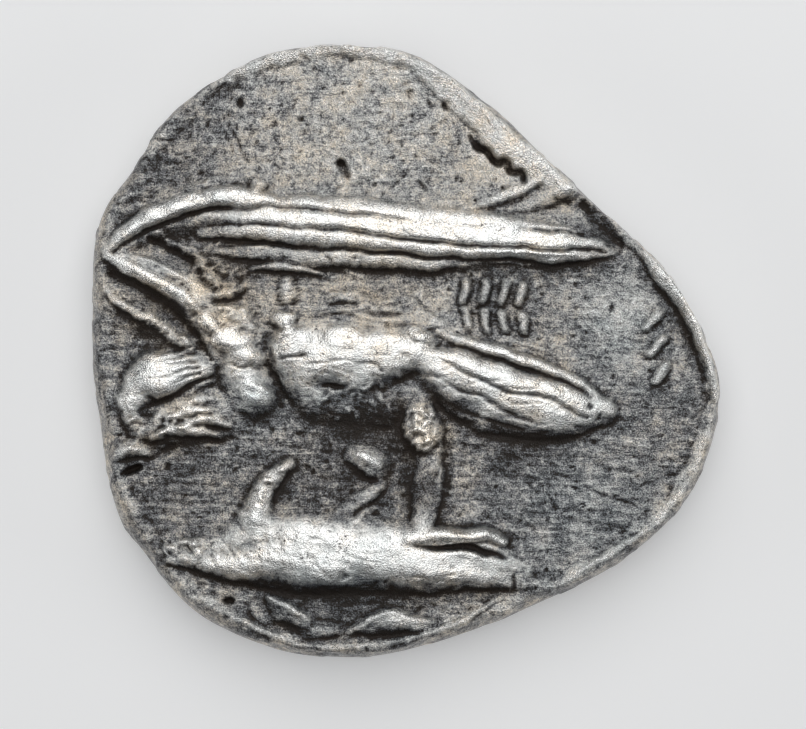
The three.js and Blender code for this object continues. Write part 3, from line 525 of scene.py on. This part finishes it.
# The raised lip where metal flowed up along the edge: smooth at the top, wide at the upper right corner,
# sharp at the right, and the bruised corner inside it.
def lips(m):
    m.join(m.roll([(-5.6, 7.98), (-5.0, 8.42), (-4.0, 8.90), (-3.0, 9.14), (-2.0, 9.22), (-1.0, 9.16),
                   (-0.2, 8.90), (0.6, 8.50), (1.2, 8.02), (1.9, 7.42), (2.7, 6.95), (3.6, 6.28),
                   (4.2, 5.70), (4.7, 5.10)],
                  [0.20, 0.34, 0.38, 0.38, 0.36, 0.36, 0.40, 0.44, 0.50, 0.62, 0.74, 0.84, 0.74, 0.45],
                  [0.05, 0.08, 0.09, 0.09, 0.09, 0.09, 0.10, 0.12, 0.15, 0.18, 0.21, 0.23, 0.23, 0.17],
                  0.55, 0.1), 0.12)
    m.join(m.roll([(2.6, 6.4), (3.5, 5.85), (4.3, 5.25), (4.8, 4.9)], [0.40, 0.85, 0.75, 0.45],
                  [0.18, 0.26, 0.27, 0.22], 0.8), 0.1)
    m.join(m.roll([(7.1, 2.88), (7.7, 2.26), (8.12, 1.75), (8.48, 1.28), (8.80, 0.66), (9.02, 0.1),
                   (9.20, -0.6), (9.25, -1.4)],
                  [0.16, 0.28, 0.34, 0.36, 0.34, 0.30, 0.24, 0.14],
                  [0.18, 0.30, 0.34, 0.35, 0.34, 0.32, 0.26, 0.16], 0.5), 0.06)
    m.join(m.roll([(-6.2, -7.35), (-5.0, -8.05), (-3.5, -8.70), (-2.0, -8.84), (0.0, -8.64), (1.5, -8.15),
                   (3.0, -7.35)],
                  [0.08, 0.12, 0.14, 0.14, 0.14, 0.12, 0.08], [0.10, 0.16, 0.18, 0.18, 0.18, 0.16, 0.12],
                  0.7), 0.04)
    m.join(m.roll([(4.6, -6.95), (6.0, -6.15), (7.5, -5.05), (8.6, -3.60), (9.1, -2.0)],
                  [0.06, 0.12, 0.14, 0.12, 0.08], [0.10, 0.16, 0.18, 0.18, 0.12], 0.7), 0.04)


# folds, cracks, pits and scratches of the ground
def fieldMarks(m):
    m.join(m.roll([(1.2, 4.5), (2.6, 4.75), (4.2, 4.9)], [0.4, 0.9, 0.5], [0.08, 0.16, 0.14], 1.2), 0.1)
    m.lay(m.roll([(1.6, 4.28), (2.4, 4.42), (3.2, 4.68), (4.05, 5.08)], [0.06, 0.18, 0.24, 0.12],
                 [0.04, 0.10, 0.13, 0.08], 0.7, 0.3))
    m.lay(m.roll([(3.1, 4.20), (3.9, 4.38), (4.5, 4.62), (4.85, 4.95)], [0.07, 0.20, 0.26, 0.18],
                 [0.05, 0.12, 0.14, 0.10], 0.7, 0.3))
    m.cut(m.roll([(1.95, 6.38), (2.15, 6.08), (2.48, 5.98), (2.68, 5.66), (3.02, 5.62), (3.16, 5.36),
                  (3.46, 5.30), (3.52, 5.02)],
                 [0.05, 0.10, 0.12, 0.14, 0.15, 0.16, 0.14, 0.10],
                 [0.08, 0.16, 0.20, 0.24, 0.26, 0.26, 0.22, 0.12]))
    m.cut(m.roll([(7.0, 2.3), (7.6, 1.6), (8.0, 1.1), (8.35, 0.4), (8.55, -0.4)], 0.22, 0.03, 1.0))
    m.cut(m.roll([(5.3, 4.4), (5.9, 3.7), (6.3, 3.1)], [0.2, 0.35, 0.25], 0.14, 1.0))
    marks = [
        ([(1.95, 6.42), (2.25, 6.15), (2.45, 5.95)], 0.05, 0.08),
        ([(-5.4, 7.0), (-5.1, 6.4), (-4.95, 5.95), (-4.65, 5.55)], 0.045, 0.06),
        ([(5.1, -3.9), (6.0, -4.3), (6.9, -4.6)], 0.035, 0.05), ([(4.2, -4.2), (4.5, -4.9)], 0.03, 0.04),
        ([(3.0, -3.1), (5.2, -3.9)], 0.03, 0.03), ([(1.6, -4.9), (3.4, -4.5)], 0.025, 0.03),
        ([(-8.5, -3.7), (-8.0, -3.5)], 0.07, 0.10),
    ]
    for path, half, depth in marks:
        m.cut(m.roll(path, half, depth, 0.8))
    m.lay(m.roll([(-1.0, 5.05), (0.0, 5.15), (1.4, 5.30)], 0.035, 0.04, 0.8))
    pits = [
        ((-1.84, 5.38), (0.38, 0.15), -58, 0.22), ((0.52, 4.92), (0.22, 0.07), -50, 0.07),
        ((-2.00, 5.56), (0.14, 0.10), 0, 0.10),
        ((0.70, 7.40), (0.20, 0.07), -65, 0.09), ((1.10, 7.30), (0.18, 0.07), -65, 0.09),
        ((-3.05, 8.78), (0.20, 0.12), -15, 0.12), ((-0.75, 9.02), (0.16, 0.10), 0, 0.12),
        ((-5.00, 7.42), (0.10, 0.20), 0, 0.12), ((-3.12, 6.96), (0.13, 0.10), 0, 0.08),
        ((-5.30, -7.50), (0.17, 0.12), -10, 0.25),
    ]
    for centre, radii, turn, depth in pits:
        m.cut(m.mound(centre, radii, turn, depth))


# how far each point lies inside the edge of the picture
def inward(x, y):
    return pictureRadius(np.arctan2(y, x)) - np.hypot(x, y)


# the struck face as a whole, over all its figures: each layer of roughness has a size and a height
face = {
    "soften": 0.024,  # radius of the blur over the figures
    "knee": 0.40,  # wear takes the highest tops down: above the knee the height nears knee + room
    "room": 0.155,
    "lumps": [(0.17, 0.009), (0.08, 0.004)],  # on the figures alone
    "waves": [(1.1, 0.020), (0.35, 0.010)],
    "grain": [(0.045, 0.0042), (0.10, 0.0045), (0.20, 0.004)],
    "streaks": 0.007,
    "scratches": 900,
}


# Fine scratches over the whole face: close to level below the bird, every way above it.
def scratches(m):
    scratched = np.zeros_like(m.height)
    for _ in range(face["scratches"]):
        x, y = (seed.random(2) - 0.5) * 18
        turn = math.radians((-8 + 14 * seed.standard_normal()) if y < 3 else seed.random() * 180)
        half = 0.15 + 0.5 * seed.random() ** 2
        ends = [(x - half * math.cos(turn), y - half * math.sin(turn)),
                (x + half * math.cos(turn), y + half * math.sin(turn))]
        cut, p = m.roll(ends, 0.035 + 0.02 * seed.random(), 0.006 + 0.016 * seed.random() ** 2, 0.8)
        scratched[cut] = np.maximum(scratched[cut], p * (1.6 if y > 4.5 else 1.0))
    return scratched


# sum of the layers, each a random grain of its size times its height
def roughness(shape, layers):
    return sum(high * grain(shape, size) for size, high in layers)


# The whole face as heights above the bare ground: the figures or the lip, whichever is higher, with
# swelling, streaks and grain added and pits and scratches taken away.
def strikePicture():
    m = ReliefMap()
    for part in (swells, flightFeathers, wingArms, coverts, farWing, backFeathers, trunk, tail, head, legs,
                 dolphin, strokes, lips, fieldMarks):
        part(m)
    shape = m.height.shape
    figures = blurred(m.height, face["soften"])
    knee, room = face["knee"], face["room"]
    figures = np.where(figures > knee, knee + room * np.tanh((figures - knee) / room), figures)
    worn = np.clip(figures / knee, 0, 1)
    # hammering and wear leave lumps along the figures
    figures = figures * (1 + 0.04 * grain(shape, 0.30)) + roughness(shape, face["lumps"]) * worn
    # the lip: its rise times (1 - (distance from the edge / width) squared) to a power
    angle = np.arctan2(m.y, m.x)
    depth = inward(m.x, m.y) + 0.05 * grain(shape, 0.14)
    lip = edgeValue("rises", angle) * np.clip(1 - (depth / edgeValue("widths", angle)) ** 2, 0, 1) ** 0.7
    lip = lip * (1 + 0.25 * grain(shape, 0.22))
    waves = roughness(shape, face["waves"])
    pits = (np.clip(grain(shape, 0.05) - 1.7, 0, 2) * 0.035 + np.clip(grain(shape, 0.10) - 2.0, 0, 2) * 0.04)
    # drawn-out marks of the blow, close to level below the bird, and a grain that is coarser above it
    streaks = face["streaks"] * grain(shape, 0.50, 0.05, -8) * np.clip((3.0 - m.y) / 3.0, 0.2, 1)
    fine = roughness(shape, face["grain"]) * (1 + 0.8 * np.clip((m.y - 4.0) / 1.5, 0, 1))
    # the higher of the two and a quarter of the lower one, but a cut into the ground counts in full
    top = np.where(figures < 0, figures + lip, np.maximum(figures, lip) + 0.25 * np.minimum(figures, lip))
    m.height = top + waves + (streaks + fine) * (1 - 0.6 * worn) - pits * (1 - 0.3 * worn) - scratches(m)
    m.figures = figures
    return m


# Reads a map at any points, by straight lines between its four nearest values.
def readMap(m, values, x, y):
    last = len(m.axis) - 1.001
    j = np.clip((x - m.axis[0]) / coin["cell"], 0, last)
    i = np.clip((y - m.axis[0]) / coin["cell"], 0, last)
    i0, j0 = i.astype(int), j.astype(int)
    fi, fj = i - i0, j - j0
    return (values[i0, j0] * (1 - fi) * (1 - fj) + values[i0 + 1, j0] * fi * (1 - fj)
            + values[i0, j0 + 1] * (1 - fi) * fj + values[i0 + 1, j0 + 1] * fi * fj)


punch = {"side": 9.0, "depth": 0.33, "slope": 0.45, "bar": 0.9, "turn": 12.0}


# Height of the underside: flat, with a square hollow quartered by two bars.
def undersideHeight(x, y):
    c, s = math.cos(math.radians(punch["turn"])), math.sin(math.radians(punch["turn"]))
    across, up = np.abs(x * c + y * s), np.abs(y * c - x * s)
    toWall = punch["side"] / 2 - np.maximum(across, up)
    toBar = np.minimum(across, up) - punch["bar"] / 2
    wall = np.clip(np.minimum(toWall, toBar) / punch["slope"], 0, 1)
    return punch["depth"] * wall * wall * (3 - 2 * wall)


# A square net drawn out to a disc: each square ring of the net becomes a ring of the outline.
def discNet(across, up):
    u, v = np.meshgrid(np.linspace(-1, 1, across + 1), np.linspace(-1, 1, up + 1))
    wide = np.abs(u) > np.abs(v)
    ring = np.where(wide, u, v)
    eighth = math.pi / 4 * np.where(wide, v, u) / np.where(ring == 0, 1, ring)
    turn = np.where(wide, eighth, math.pi / 2 - eighth)
    x, y = ring * np.cos(turn), ring * np.sin(turn)
    index = np.arange(u.size).reshape(u.shape)
    a, b, c, d = index[:-1, :-1], index[:-1, 1:], index[1:, 1:], index[1:, :-1]
    faces = np.stack([a, b, c, d], -1).reshape(-1, 4)
    loop = np.r_[index[0, :-1], index[:-1, -1], index[-1, :0:-1], index[:0:-1, 0]]
    return np.hypot(x, y).ravel(), np.arctan2(y, x).ravel(), faces, loop


# Roughness round the rim, never outwards: random values smoothed along the loop, one row of them for
# each row of points, with neighbouring rows partly alike so that the marks run round the coin.
def rimMarks(rows, count):
    waves = np.fft.rfft(seed.standard_normal((2 * rows, count)), axis=1)
    waves *= np.exp(-(np.arange(waves.shape[1]) / (count / 14)) ** 2)
    marks = np.fft.irfft(waves, n=count, axis=1)
    marks = marks + np.roll(marks, 1, axis=0) * 0.6
    return coin["rimRoughness"] * np.clip(marks / marks.std() + 1, 0, 3)


# triangles between a ring of points and one below it with half as many
def halveRing(ring, smaller):
    a0, a1, a2 = ring[0::2], ring[1::2], np.roll(ring[0::2], -1)
    b0, b1 = smaller, np.roll(smaller, -1)
    return np.concatenate([np.stack(corners, -1) for corners in ((a0, b0, a1), (a1, b0, b1), (a1, b1, a2))])


# The whole coin as one closed mesh: the struck face as a disc net at the height map's heights, rings
# down the rim, half as many points below the belt, and a coarser net for the underside.
def coinMesh(m):
    across, up = coin["cells"]
    rho, angle, faces, loop = discNet(across, up)
    pictureReach = pictureRadius(angle)
    x, y = rho * pictureReach * np.cos(angle), rho * pictureReach * np.sin(angle)
    z = coin["ground"] + readMap(m, m.height, x, y)
    points, quads, triangles = [np.stack([x, y, z], -1)], [faces], []

    # rim: a quarter of an ellipse out to the belt and another back in to the underside
    edgeAngle, edgeZ = angle[loop], z[loop]
    belt = outlineRadius(edgeAngle)
    inset = belt - pictureReach[loop]
    previous, total = loop, len(x)
    rows = coin["rimRows"]
    marks = rimMarks(rows, len(loop))
    for row in range(1, 2 * rows):
        if row <= rows:
            swing = math.pi / 2 * row / rows
            out = belt - inset * (1 - math.sin(swing)) - marks[row] * math.sin(2 * swing)
            height = coin["belt"] + (edgeZ - coin["belt"]) * math.cos(swing)
        else:
            if row == rows + 1:
                edgeAngle, belt = edgeAngle[::2], belt[::2]
            swing = math.pi / 2 * (row - rows) / rows
            out = belt - coin["restInset"] * (1 - math.cos(swing))
            height = np.full(len(belt), coin["belt"] * (1 - math.sin(swing)))
        points.append(np.stack([out * np.cos(edgeAngle), out * np.sin(edgeAngle), height], -1))
        ring = total + np.arange(len(out))
        if row == rows + 1:
            triangles.append(halveRing(previous, ring))
        else:
            quads.append(np.stack([previous, ring, np.roll(ring, -1), np.roll(previous, -1)], -1))
        previous = ring
        total += len(ring)

    rho, angle, faces, loop = discNet(across // 4, up // 4)
    restReach = outlineRadius(angle) - coin["restInset"]
    x, y = rho * restReach * np.cos(angle), rho * restReach * np.sin(angle)
    points.append(np.stack([x, y, undersideHeight(x, y)], -1))
    triangles.append(halveRing(previous, total + loop))
    quads.append(total + faces[:, ::-1])

    quads, triangles = np.concatenate(quads), np.concatenate(triangles)
    corners = np.concatenate([quads.ravel(), triangles.ravel()])
    sizes = np.r_[np.full(len(quads), 4), np.full(len(triangles), 3)]
    return np.concatenate(points), corners, sizes


# stretches the mesh evenly to the width of the solid's box and levels what stands above the box's top
def fitToCad(points):
    low, high = (np.array(corner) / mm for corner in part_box("coin"))
    mine = points.min(0), points.max(0)
    stretch = (high[0] - low[0]) / (mine[1][0] - mine[0][0])
    points[:, 0] = (points[:, 0] - mine[0][0]) * stretch + low[0]
    points[:, 1] = (points[:, 1] - mine[0][1]) * stretch + low[1]
    points[:, 2] = np.minimum(points[:, 2], high[2])
    return points


def makeCoin():
    m = strikePicture()
    points, corners, sizes = coinMesh(m)
    masks = surfaceMasks(m, points)
    points = fitToCad(points)
    mesh = bpy.data.meshes.new("struck_coin")
    mesh.vertices.add(len(points))
    mesh.vertices.foreach_set("co", (points * mm).ravel())
    mesh.loops.add(len(corners))
    mesh.loops.foreach_set("vertex_index", corners)
    mesh.polygons.add(len(sizes))
    mesh.polygons.foreach_set("loop_start", np.r_[0, np.cumsum(sizes)[:-1]])
    mesh.update(calc_edges=True)
    mesh.validate()
    mesh.polygons.foreach_set("use_smooth", np.ones(len(mesh.polygons), bool))
    for name, values in masks.items():
        mesh.attributes.new(name, "FLOAT", "POINT").data.foreach_set("value", values.astype(np.float32))
    piece = bpy.data.objects.new("struck_coin", mesh)
    bpy.context.collection.objects.link(piece)
    print("coin mesh:", len(points), "points,", int((sizes - 2).sum()), "triangles")
    return piece


# Tarnish with painted shade and painted highlight, and warm or cool staining with a painted cool reflection,
# in broad soft spots: place, radius in millimetres, strength.
stains = {
    # tone: broad tarnish; its dark spots under and between the figures are painted shade, and its negative
    # spots along the top and right lip are painted highlight
    "tone": [(-7.2, 6.0, 2.2, 0.60), (-7.5, -4.5, 2.2, 0.75), (-2.8, -3.6, 2.4, 0.85), (3.6, -4.3, 3.0, 0.52),
             (-2.0, -8.0, 2.4, 0.90), (7.8, -2.5, 1.8, 0.45), (4.6, 1.2, 1.2, 0.40), (-0.5, -2.6, 1.2, 0.6),
             (-8.0, 0.8, 1.2, 0.5), (8.2, 0.8, 0.8, 0.7), (5.8, 3.1, 0.8, 0.8), (-1.4, -1.9, 1.4, 0.6),
             (5.7, 1.0, 0.8, -0.25), (0.6, -4.3, 0.8, 1.4), (3.4, -2.3, 1.2, 1.2), (1.6, -1.6, 0.7, 0.8),
             (-5.2, 2.4, 0.9, 0.6), (-6.9, 2.9, 0.9, 0.5), (-7.4, 0.4, 0.9, 0.4), (-3.0, 1.9, 1.0, 0.35),
             (-4.7, 8.5, 0.5, -0.9), (-3.7, 8.9, 0.5, -1.0), (-2.6, 9.1, 0.5, -1.0), (-1.4, 9.1, 0.5, -1.0),
             (-0.4, 8.8, 0.5, -1.0), (0.6, 8.4, 0.5, -1.0), (1.4, 7.8, 0.5, -1.1), (2.2, 7.1, 0.6, -1.1),
             (3.1, 6.4, 0.7, -1.2), (3.9, 5.8, 0.6, -1.2), (4.5, 5.2, 0.5, -1.1), (7.8, 2.2, 0.35, -1.0),
             (8.3, 1.5, 0.35, -1.2), (8.7, 0.8, 0.35, -1.2), (8.95, 0.1, 0.3, -1.0),
             (-1.2, 6.8, 3.0, -0.28), (2.6, 5.2, 1.2, -0.35)],
    # warmth: warm stains; its negative spots on the breast, the body's underside and the dolphin's lower half
    # paint a cool reflection on lower sides, the others are cool toning
    "warmth": [(-5.4, 1.7, 1.3, 0.9), (-1.0, 1.3, 1.4, 0.8), (2.2, 5.6, 1.8, 0.4), (-3.0, 6.5, 2.4, 0.25),
               (0.4, -2.2, 0.9, 0.6), (-8.0, 1.3, 0.9, 0.6), (4.5, -0.6, 1.0, 0.4), (-6.4, -2.2, 1.1, 0.4),
               (6.5, 0.8, 1.6, -0.7), (5.0, -4.6, 2.2, -0.7), (-4.6, -1.4, 0.9, -0.8),
               (-1.8, -1.0, 1.1, -0.5), (-2.0, -7.0, 1.8, -0.5)],
}


# sum of the spots, each its strength times e to the power of -(distance / radius) squared
def stain(name, x, y):
    total = np.zeros_like(x)
    for cx, cy, radius, strength in stains[name]:
        total += strength * np.exp(-((x - cx) ** 2 + (y - cy) ** 2) / radius**2)
    return total


# Where dirt stays, where shade is painted and where wear polishes, read off the height map: a point
# below the average around it is a hollow, darkened for dirt and painted shade, a point above it is
# worn. The wide average is taken a little higher up the picture, so that painted shade lies on the
# lower sides of the figures, which the light from above leaves darker.
def surfaceMasks(m, points):
    h = m.height
    x, y = points[:, 0], points[:, 1]
    picture = np.clip(1 + inward(x, y) / 0.15, 0, 1) * (points[:, 2] > 1.2)  # fades out over the rim
    # darkening in hollows: dirt, and painted shade below the figures from averages shifted up the picture
    hollow = (np.clip((np.roll(blurred(h, 0.07), -1, axis=0) - h) / 0.035, 0, 1) * 0.70
              + np.clip((np.roll(blurred(h, 0.22), -6, axis=0) - h) / 0.20, 0, 1) * 0.45)
    # where the negative tone whitens the metal, mostly painted highlight along the lip, its shallow hollows
    # lose most of their dirt and painted shade too
    tarnishShadeAndHighlight = stain("tone", m.x, m.y)
    deep = np.clip((blurred(h, 0.22) - h - 0.05) / 0.05, 0, 1)
    hollow = hollow * (1 - 0.7 * np.clip(-tarnishShadeAndHighlight, 0, 1) * (1 - deep))
    worn = np.clip((h - blurred(h, 0.12)) / 0.03, 0, 1) * 0.4 + np.clip((h - blurred(h, 0.8)) / 0.14, 0, 1)
    raised = np.clip((m.figures - 0.18) / 0.22, 0, 1)
    tone = tarnishShadeAndHighlight * (1 - 0.75 * raised)
    warmth = stain("warmth", m.x, m.y)
    read = {"hollow": hollow, "worn": worn, "raised": raised, "tone": tone, "warmth": warmth}
    # the same for the rim and the underside, where the map doesn't reach
    beyond = {"hollow": 0.14, "worn": 0.0, "raised": 0.0, "tone": 0.25, "warmth": 0.25}
    return {name: picture * readMap(m, values, x, y) + (1 - picture) * beyond[name]
            for name, values in read.items()}


# One output socket, on which Python's operators add Math nodes.
class Wire:
    def __init__(self, tree, socket=None):
        self.tree = tree
        self.socket = socket

    # adds a node: its settings first, then the values or links of its sockets
    def node(self, kind, settings=None, inputs=None, output=0):
        made = self.tree.nodes.new(kind)
        for name, value in (settings or {}).items():
            if name == "stops":
                while len(made.color_ramp.elements) < len(value):
                    made.color_ramp.elements.new(0.5)
                for element, (place, shade) in zip(made.color_ramp.elements, value):
                    element.position = place
                    element.color = (*shade, 1.0)
            else:
                setattr(made, name, value)
        for name, value in (inputs or {}).items():
            if isinstance(value, Wire):
                self.tree.links.new(value.socket, made.inputs[name])
            else:
                made.inputs[name].default_value = value
        return Wire(self.tree, made.outputs[output] if made.outputs else None)

    def maths(self, operation, first, second=0.0):
        return self.node("ShaderNodeMath", {"operation": operation}, {0: first, 1: second})

    def __add__(self, other):
        return self.maths("ADD", self, other)

    def __radd__(self, other):
        return self.maths("ADD", other, self)

    def __sub__(self, other):
        return self.maths("SUBTRACT", self, other)

    def __rsub__(self, other):
        return self.maths("SUBTRACT", other, self)

    def __mul__(self, other):
        return self.maths("MULTIPLY", self, other)

    def __rmul__(self, other):
        return self.maths("MULTIPLY", other, self)

    # straight ramp from 0 at low to 1 at high
    def between(self, low, high):
        return self.node("ShaderNodeMapRange", {"clamp": True}, {0: self, 1: low, 2: high, 3: 0.0, 4: 1.0})


silver = {
    # brightness of the surface, from packed dirt and painted shade to worn metal and painted highlight
    "shades": [(0.0, (0.018, 0.012, 0.008)), (0.20, (0.052, 0.045, 0.040)), (0.38, (0.135, 0.136, 0.143)),
               (0.56, (0.320, 0.320, 0.320)), (0.76, (0.640, 0.630, 0.605)), (1.0, (0.930, 0.918, 0.888))],
    "field": 0.70,  # brightness of the bare ground on that scale
    "warm": (1.0, 0.83, 0.62, 1.0),
    "cool": (0.80, 0.93, 1.0, 1.0),
    "roughness": 0.36,
}


def silverMaterial():
    material = bpy.data.materials.new("worn_silver")
    material.use_nodes = True
    tree = material.node_tree
    tree.nodes.clear()
    wire = Wire(tree)
    place = wire.node("ShaderNodeTexCoord", output=3)

    # the coordinates turned and drawn out, for marks that run one way
    def drawnOut(turn, share):
        rotation, scale = (0.0, 0.0, math.radians(turn)), (share, 1.0, 1.0)
        return wire.node("ShaderNodeMapping", {}, {"Vector": place, "Rotation": rotation, "Scale": scale})

    def attribute(name):
        return wire.node("ShaderNodeAttribute", {"attribute_name": name}, output=2)

    # cloudy noise spread over -1 to 1; grains is the number of its features in a millimetre
    def noise(grains, detail=2.0, rough=0.6, spread=0.17, vector=place):
        made = wire.node("ShaderNodeTexNoise", {}, {"Vector": vector, "Scale": grains / mm,
                                                    "Detail": detail, "Roughness": rough})
        return made.between(0.5 - spread, 0.5 + spread) * 2 - 1

    # the hollow attribute darkens for dirt and for painted shade below the figures
    hollow, worn, raised = attribute("hollow"), attribute("worn"), attribute("raised")
    tone, warmth = attribute("tone"), attribute("warmth")
    patches, clouds = noise(0.5), noise(1.7, 4.0, 0.65)
    speckle, specks = noise(5.5, 4.0, 0.8, 0.20), noise(22.0, 1.0, 0.5)
    lines = noise(11.0, 4.0, 0.7, 0.24, drawnOut(7, 0.10))
    crossed = (noise(12.0, 3.0, 0.7, 0.24, drawnOut(-38, 0.12))
               + noise(12.0, 3.0, 0.7, 0.24, drawnOut(63, 0.12)))
    # small dark pits, close together in some places and rare in others
    pits = noise(11.0, 3.0, 0.7).between(0.40, 0.85) * (0.6 + clouds * 0.5) * (0.15 + raised * 0.85)
    rub = speckle * 0.20 + specks * 0.11 + clouds * 0.12 + patches * 0.07 + lines * 0.12 + crossed * 0.07
    # the tone carries painted shade and painted highlight, and the hollows' dark carries painted shade as
    # well as dirt
    bright = (silver["field"] - tone * 0.30 + raised * 0.17 + worn * 0.26 - hollow * 0.66 - pits * 0.95
              + rub * (1.2 - raised * 0.65))
    shade = wire.node("ShaderNodeValToRGB", {"stops": silver["shades"]}, {"Fac": bright})
    warm = (warmth * 0.7 + hollow * 0.45 + patches * 0.15 + clouds * 0.35 + specks * 0.15).between(0.0, 1.0)
    # cool tint: random clouds and toning, and the painted cool reflection on lower sides where warmth is
    # negative
    cool = (clouds * -0.3 - warmth * 0.8 - patches * 0.2).between(0.0, 1.0)
    mix = {"data_type": "RGBA", "blend_type": "MULTIPLY"}
    warmed = wire.node("ShaderNodeMix", mix, {0: warm * 0.85, 6: shade, 7: silver["warm"]}, output=2)
    tint = wire.node("ShaderNodeMix", mix, {0: cool * 0.6, 6: warmed, 7: silver["cool"]}, output=2)
    rough = silver["roughness"] + (0.6 - bright) * 0.25 + specks * 0.05
    metallic = (bright + 0.55).between(0.4, 0.8)
    bump = wire.node("ShaderNodeBump", {}, {"Strength": 0.7, "Distance": 0.00002,
                                            "Height": (speckle * 0.5 + specks * 0.5) * (1 - raised * 0.55)})
    shader = wire.node("ShaderNodeBsdfPrincipled", {}, {"Base Color": tint, "Roughness": rough,
                                                        "Metallic": metallic, "Normal": bump})
    wire.node("ShaderNodeOutputMaterial", {}, {"Surface": shader})
    return material


floor = {"side": 3.0, "colour": (0.88, 0.885, 0.89), "glow": 0.22}


def makeFloor():
    half = floor["side"] / 2
    mesh = bpy.data.meshes.new("floor")
    corners = [(-half, -half, 0), (half, -half, 0), (half, half, 0), (-half, half, 0)]
    mesh.from_pydata(corners, [], [(0, 1, 2, 3)])
    piece = bpy.data.objects.new("floor", mesh)
    bpy.context.collection.objects.link(piece)
    material = bpy.data.materials.new("floor_paper")
    material.use_nodes = True
    shader = material.node_tree.nodes["Principled BSDF"]
    shader.inputs["Base Color"].default_value = (*floor["colour"], 1.0)
    shader.inputs["Roughness"].default_value = 0.9
    shader.inputs["Emission Color"].default_value = (*floor["colour"], 1.0)
    shader.inputs["Emission Strength"].default_value = floor["glow"]
    mesh.materials.append(material)


# the photograph is 806 by 729 pixels, and one pixel is pixelSize millimetres on the coin
camera = {"lens": 100.0, "sensor": 36.0, "pixels": 806, "pixelSize": 19.0 / 628,
          "middle": (-0.076, -0.393), "aimHeight": 1.2}


def makeCamera():
    data = bpy.data.cameras.new("camera")
    data.lens, data.sensor_width = camera["lens"], camera["sensor"]
    data.clip_start, data.clip_end = 0.001, 10.0
    distance = camera["pixels"] * camera["pixelSize"] * camera["lens"] / camera["sensor"]
    piece = bpy.data.objects.new("camera", data)
    x, y = camera["middle"]
    piece.location = (x * mm, y * mm, (distance + camera["aimHeight"]) * mm)
    bpy.context.collection.objects.link(piece)
    bpy.context.scene.camera = piece


lights = {
    # direction it comes from in degrees round the coin, degrees above the floor, distance, sides in mm, watts
    "key": (87, 60, 150, (170, 215), 0.178),
    "fill": (268, 66, 150, (170, 100), 0.024),
    "left": (190, 18, 160, (90, 30), 0.03),
    "right": (-10, 18, 160, (90, 30), 0.03),
}


def makeLights():
    for name, (bearing, up, distance, sides, watts) in lights.items():
        data = bpy.data.lights.new(name, "AREA")
        data.shape, data.size, data.size_y, data.energy = "RECTANGLE", sides[0] * mm, sides[1] * mm, watts
        a, e = math.radians(bearing), math.radians(up)
        piece = bpy.data.objects.new(name, data)
        piece.location = [distance * mm * part for part in
                          (math.cos(a) * math.cos(e), math.sin(a) * math.cos(e), math.sin(e))]
        piece.rotation_mode = "QUATERNION"
        piece.rotation_quaternion = (-piece.location).to_track_quat("-Z", "Y")
        bpy.context.collection.objects.link(piece)
    world = bpy.context.scene.world or bpy.data.worlds.new("world")
    bpy.context.scene.world = world
    world.use_nodes = True
    background = world.node_tree.nodes["Background"]
    background.inputs["Color"].default_value = (0.9, 0.95, 1.0, 1.0)
    background.inputs["Strength"].default_value = 0.05
    bpy.context.scene.view_settings.view_transform = "Standard"
    bpy.context.scene.view_settings.look = "None"


makeCamera()
makeLights()
makeFloor()
struck = makeCoin()
struck.data.materials.append(silverMaterial())
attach(struck, "root")
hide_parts("coin")
print("coin dressed")
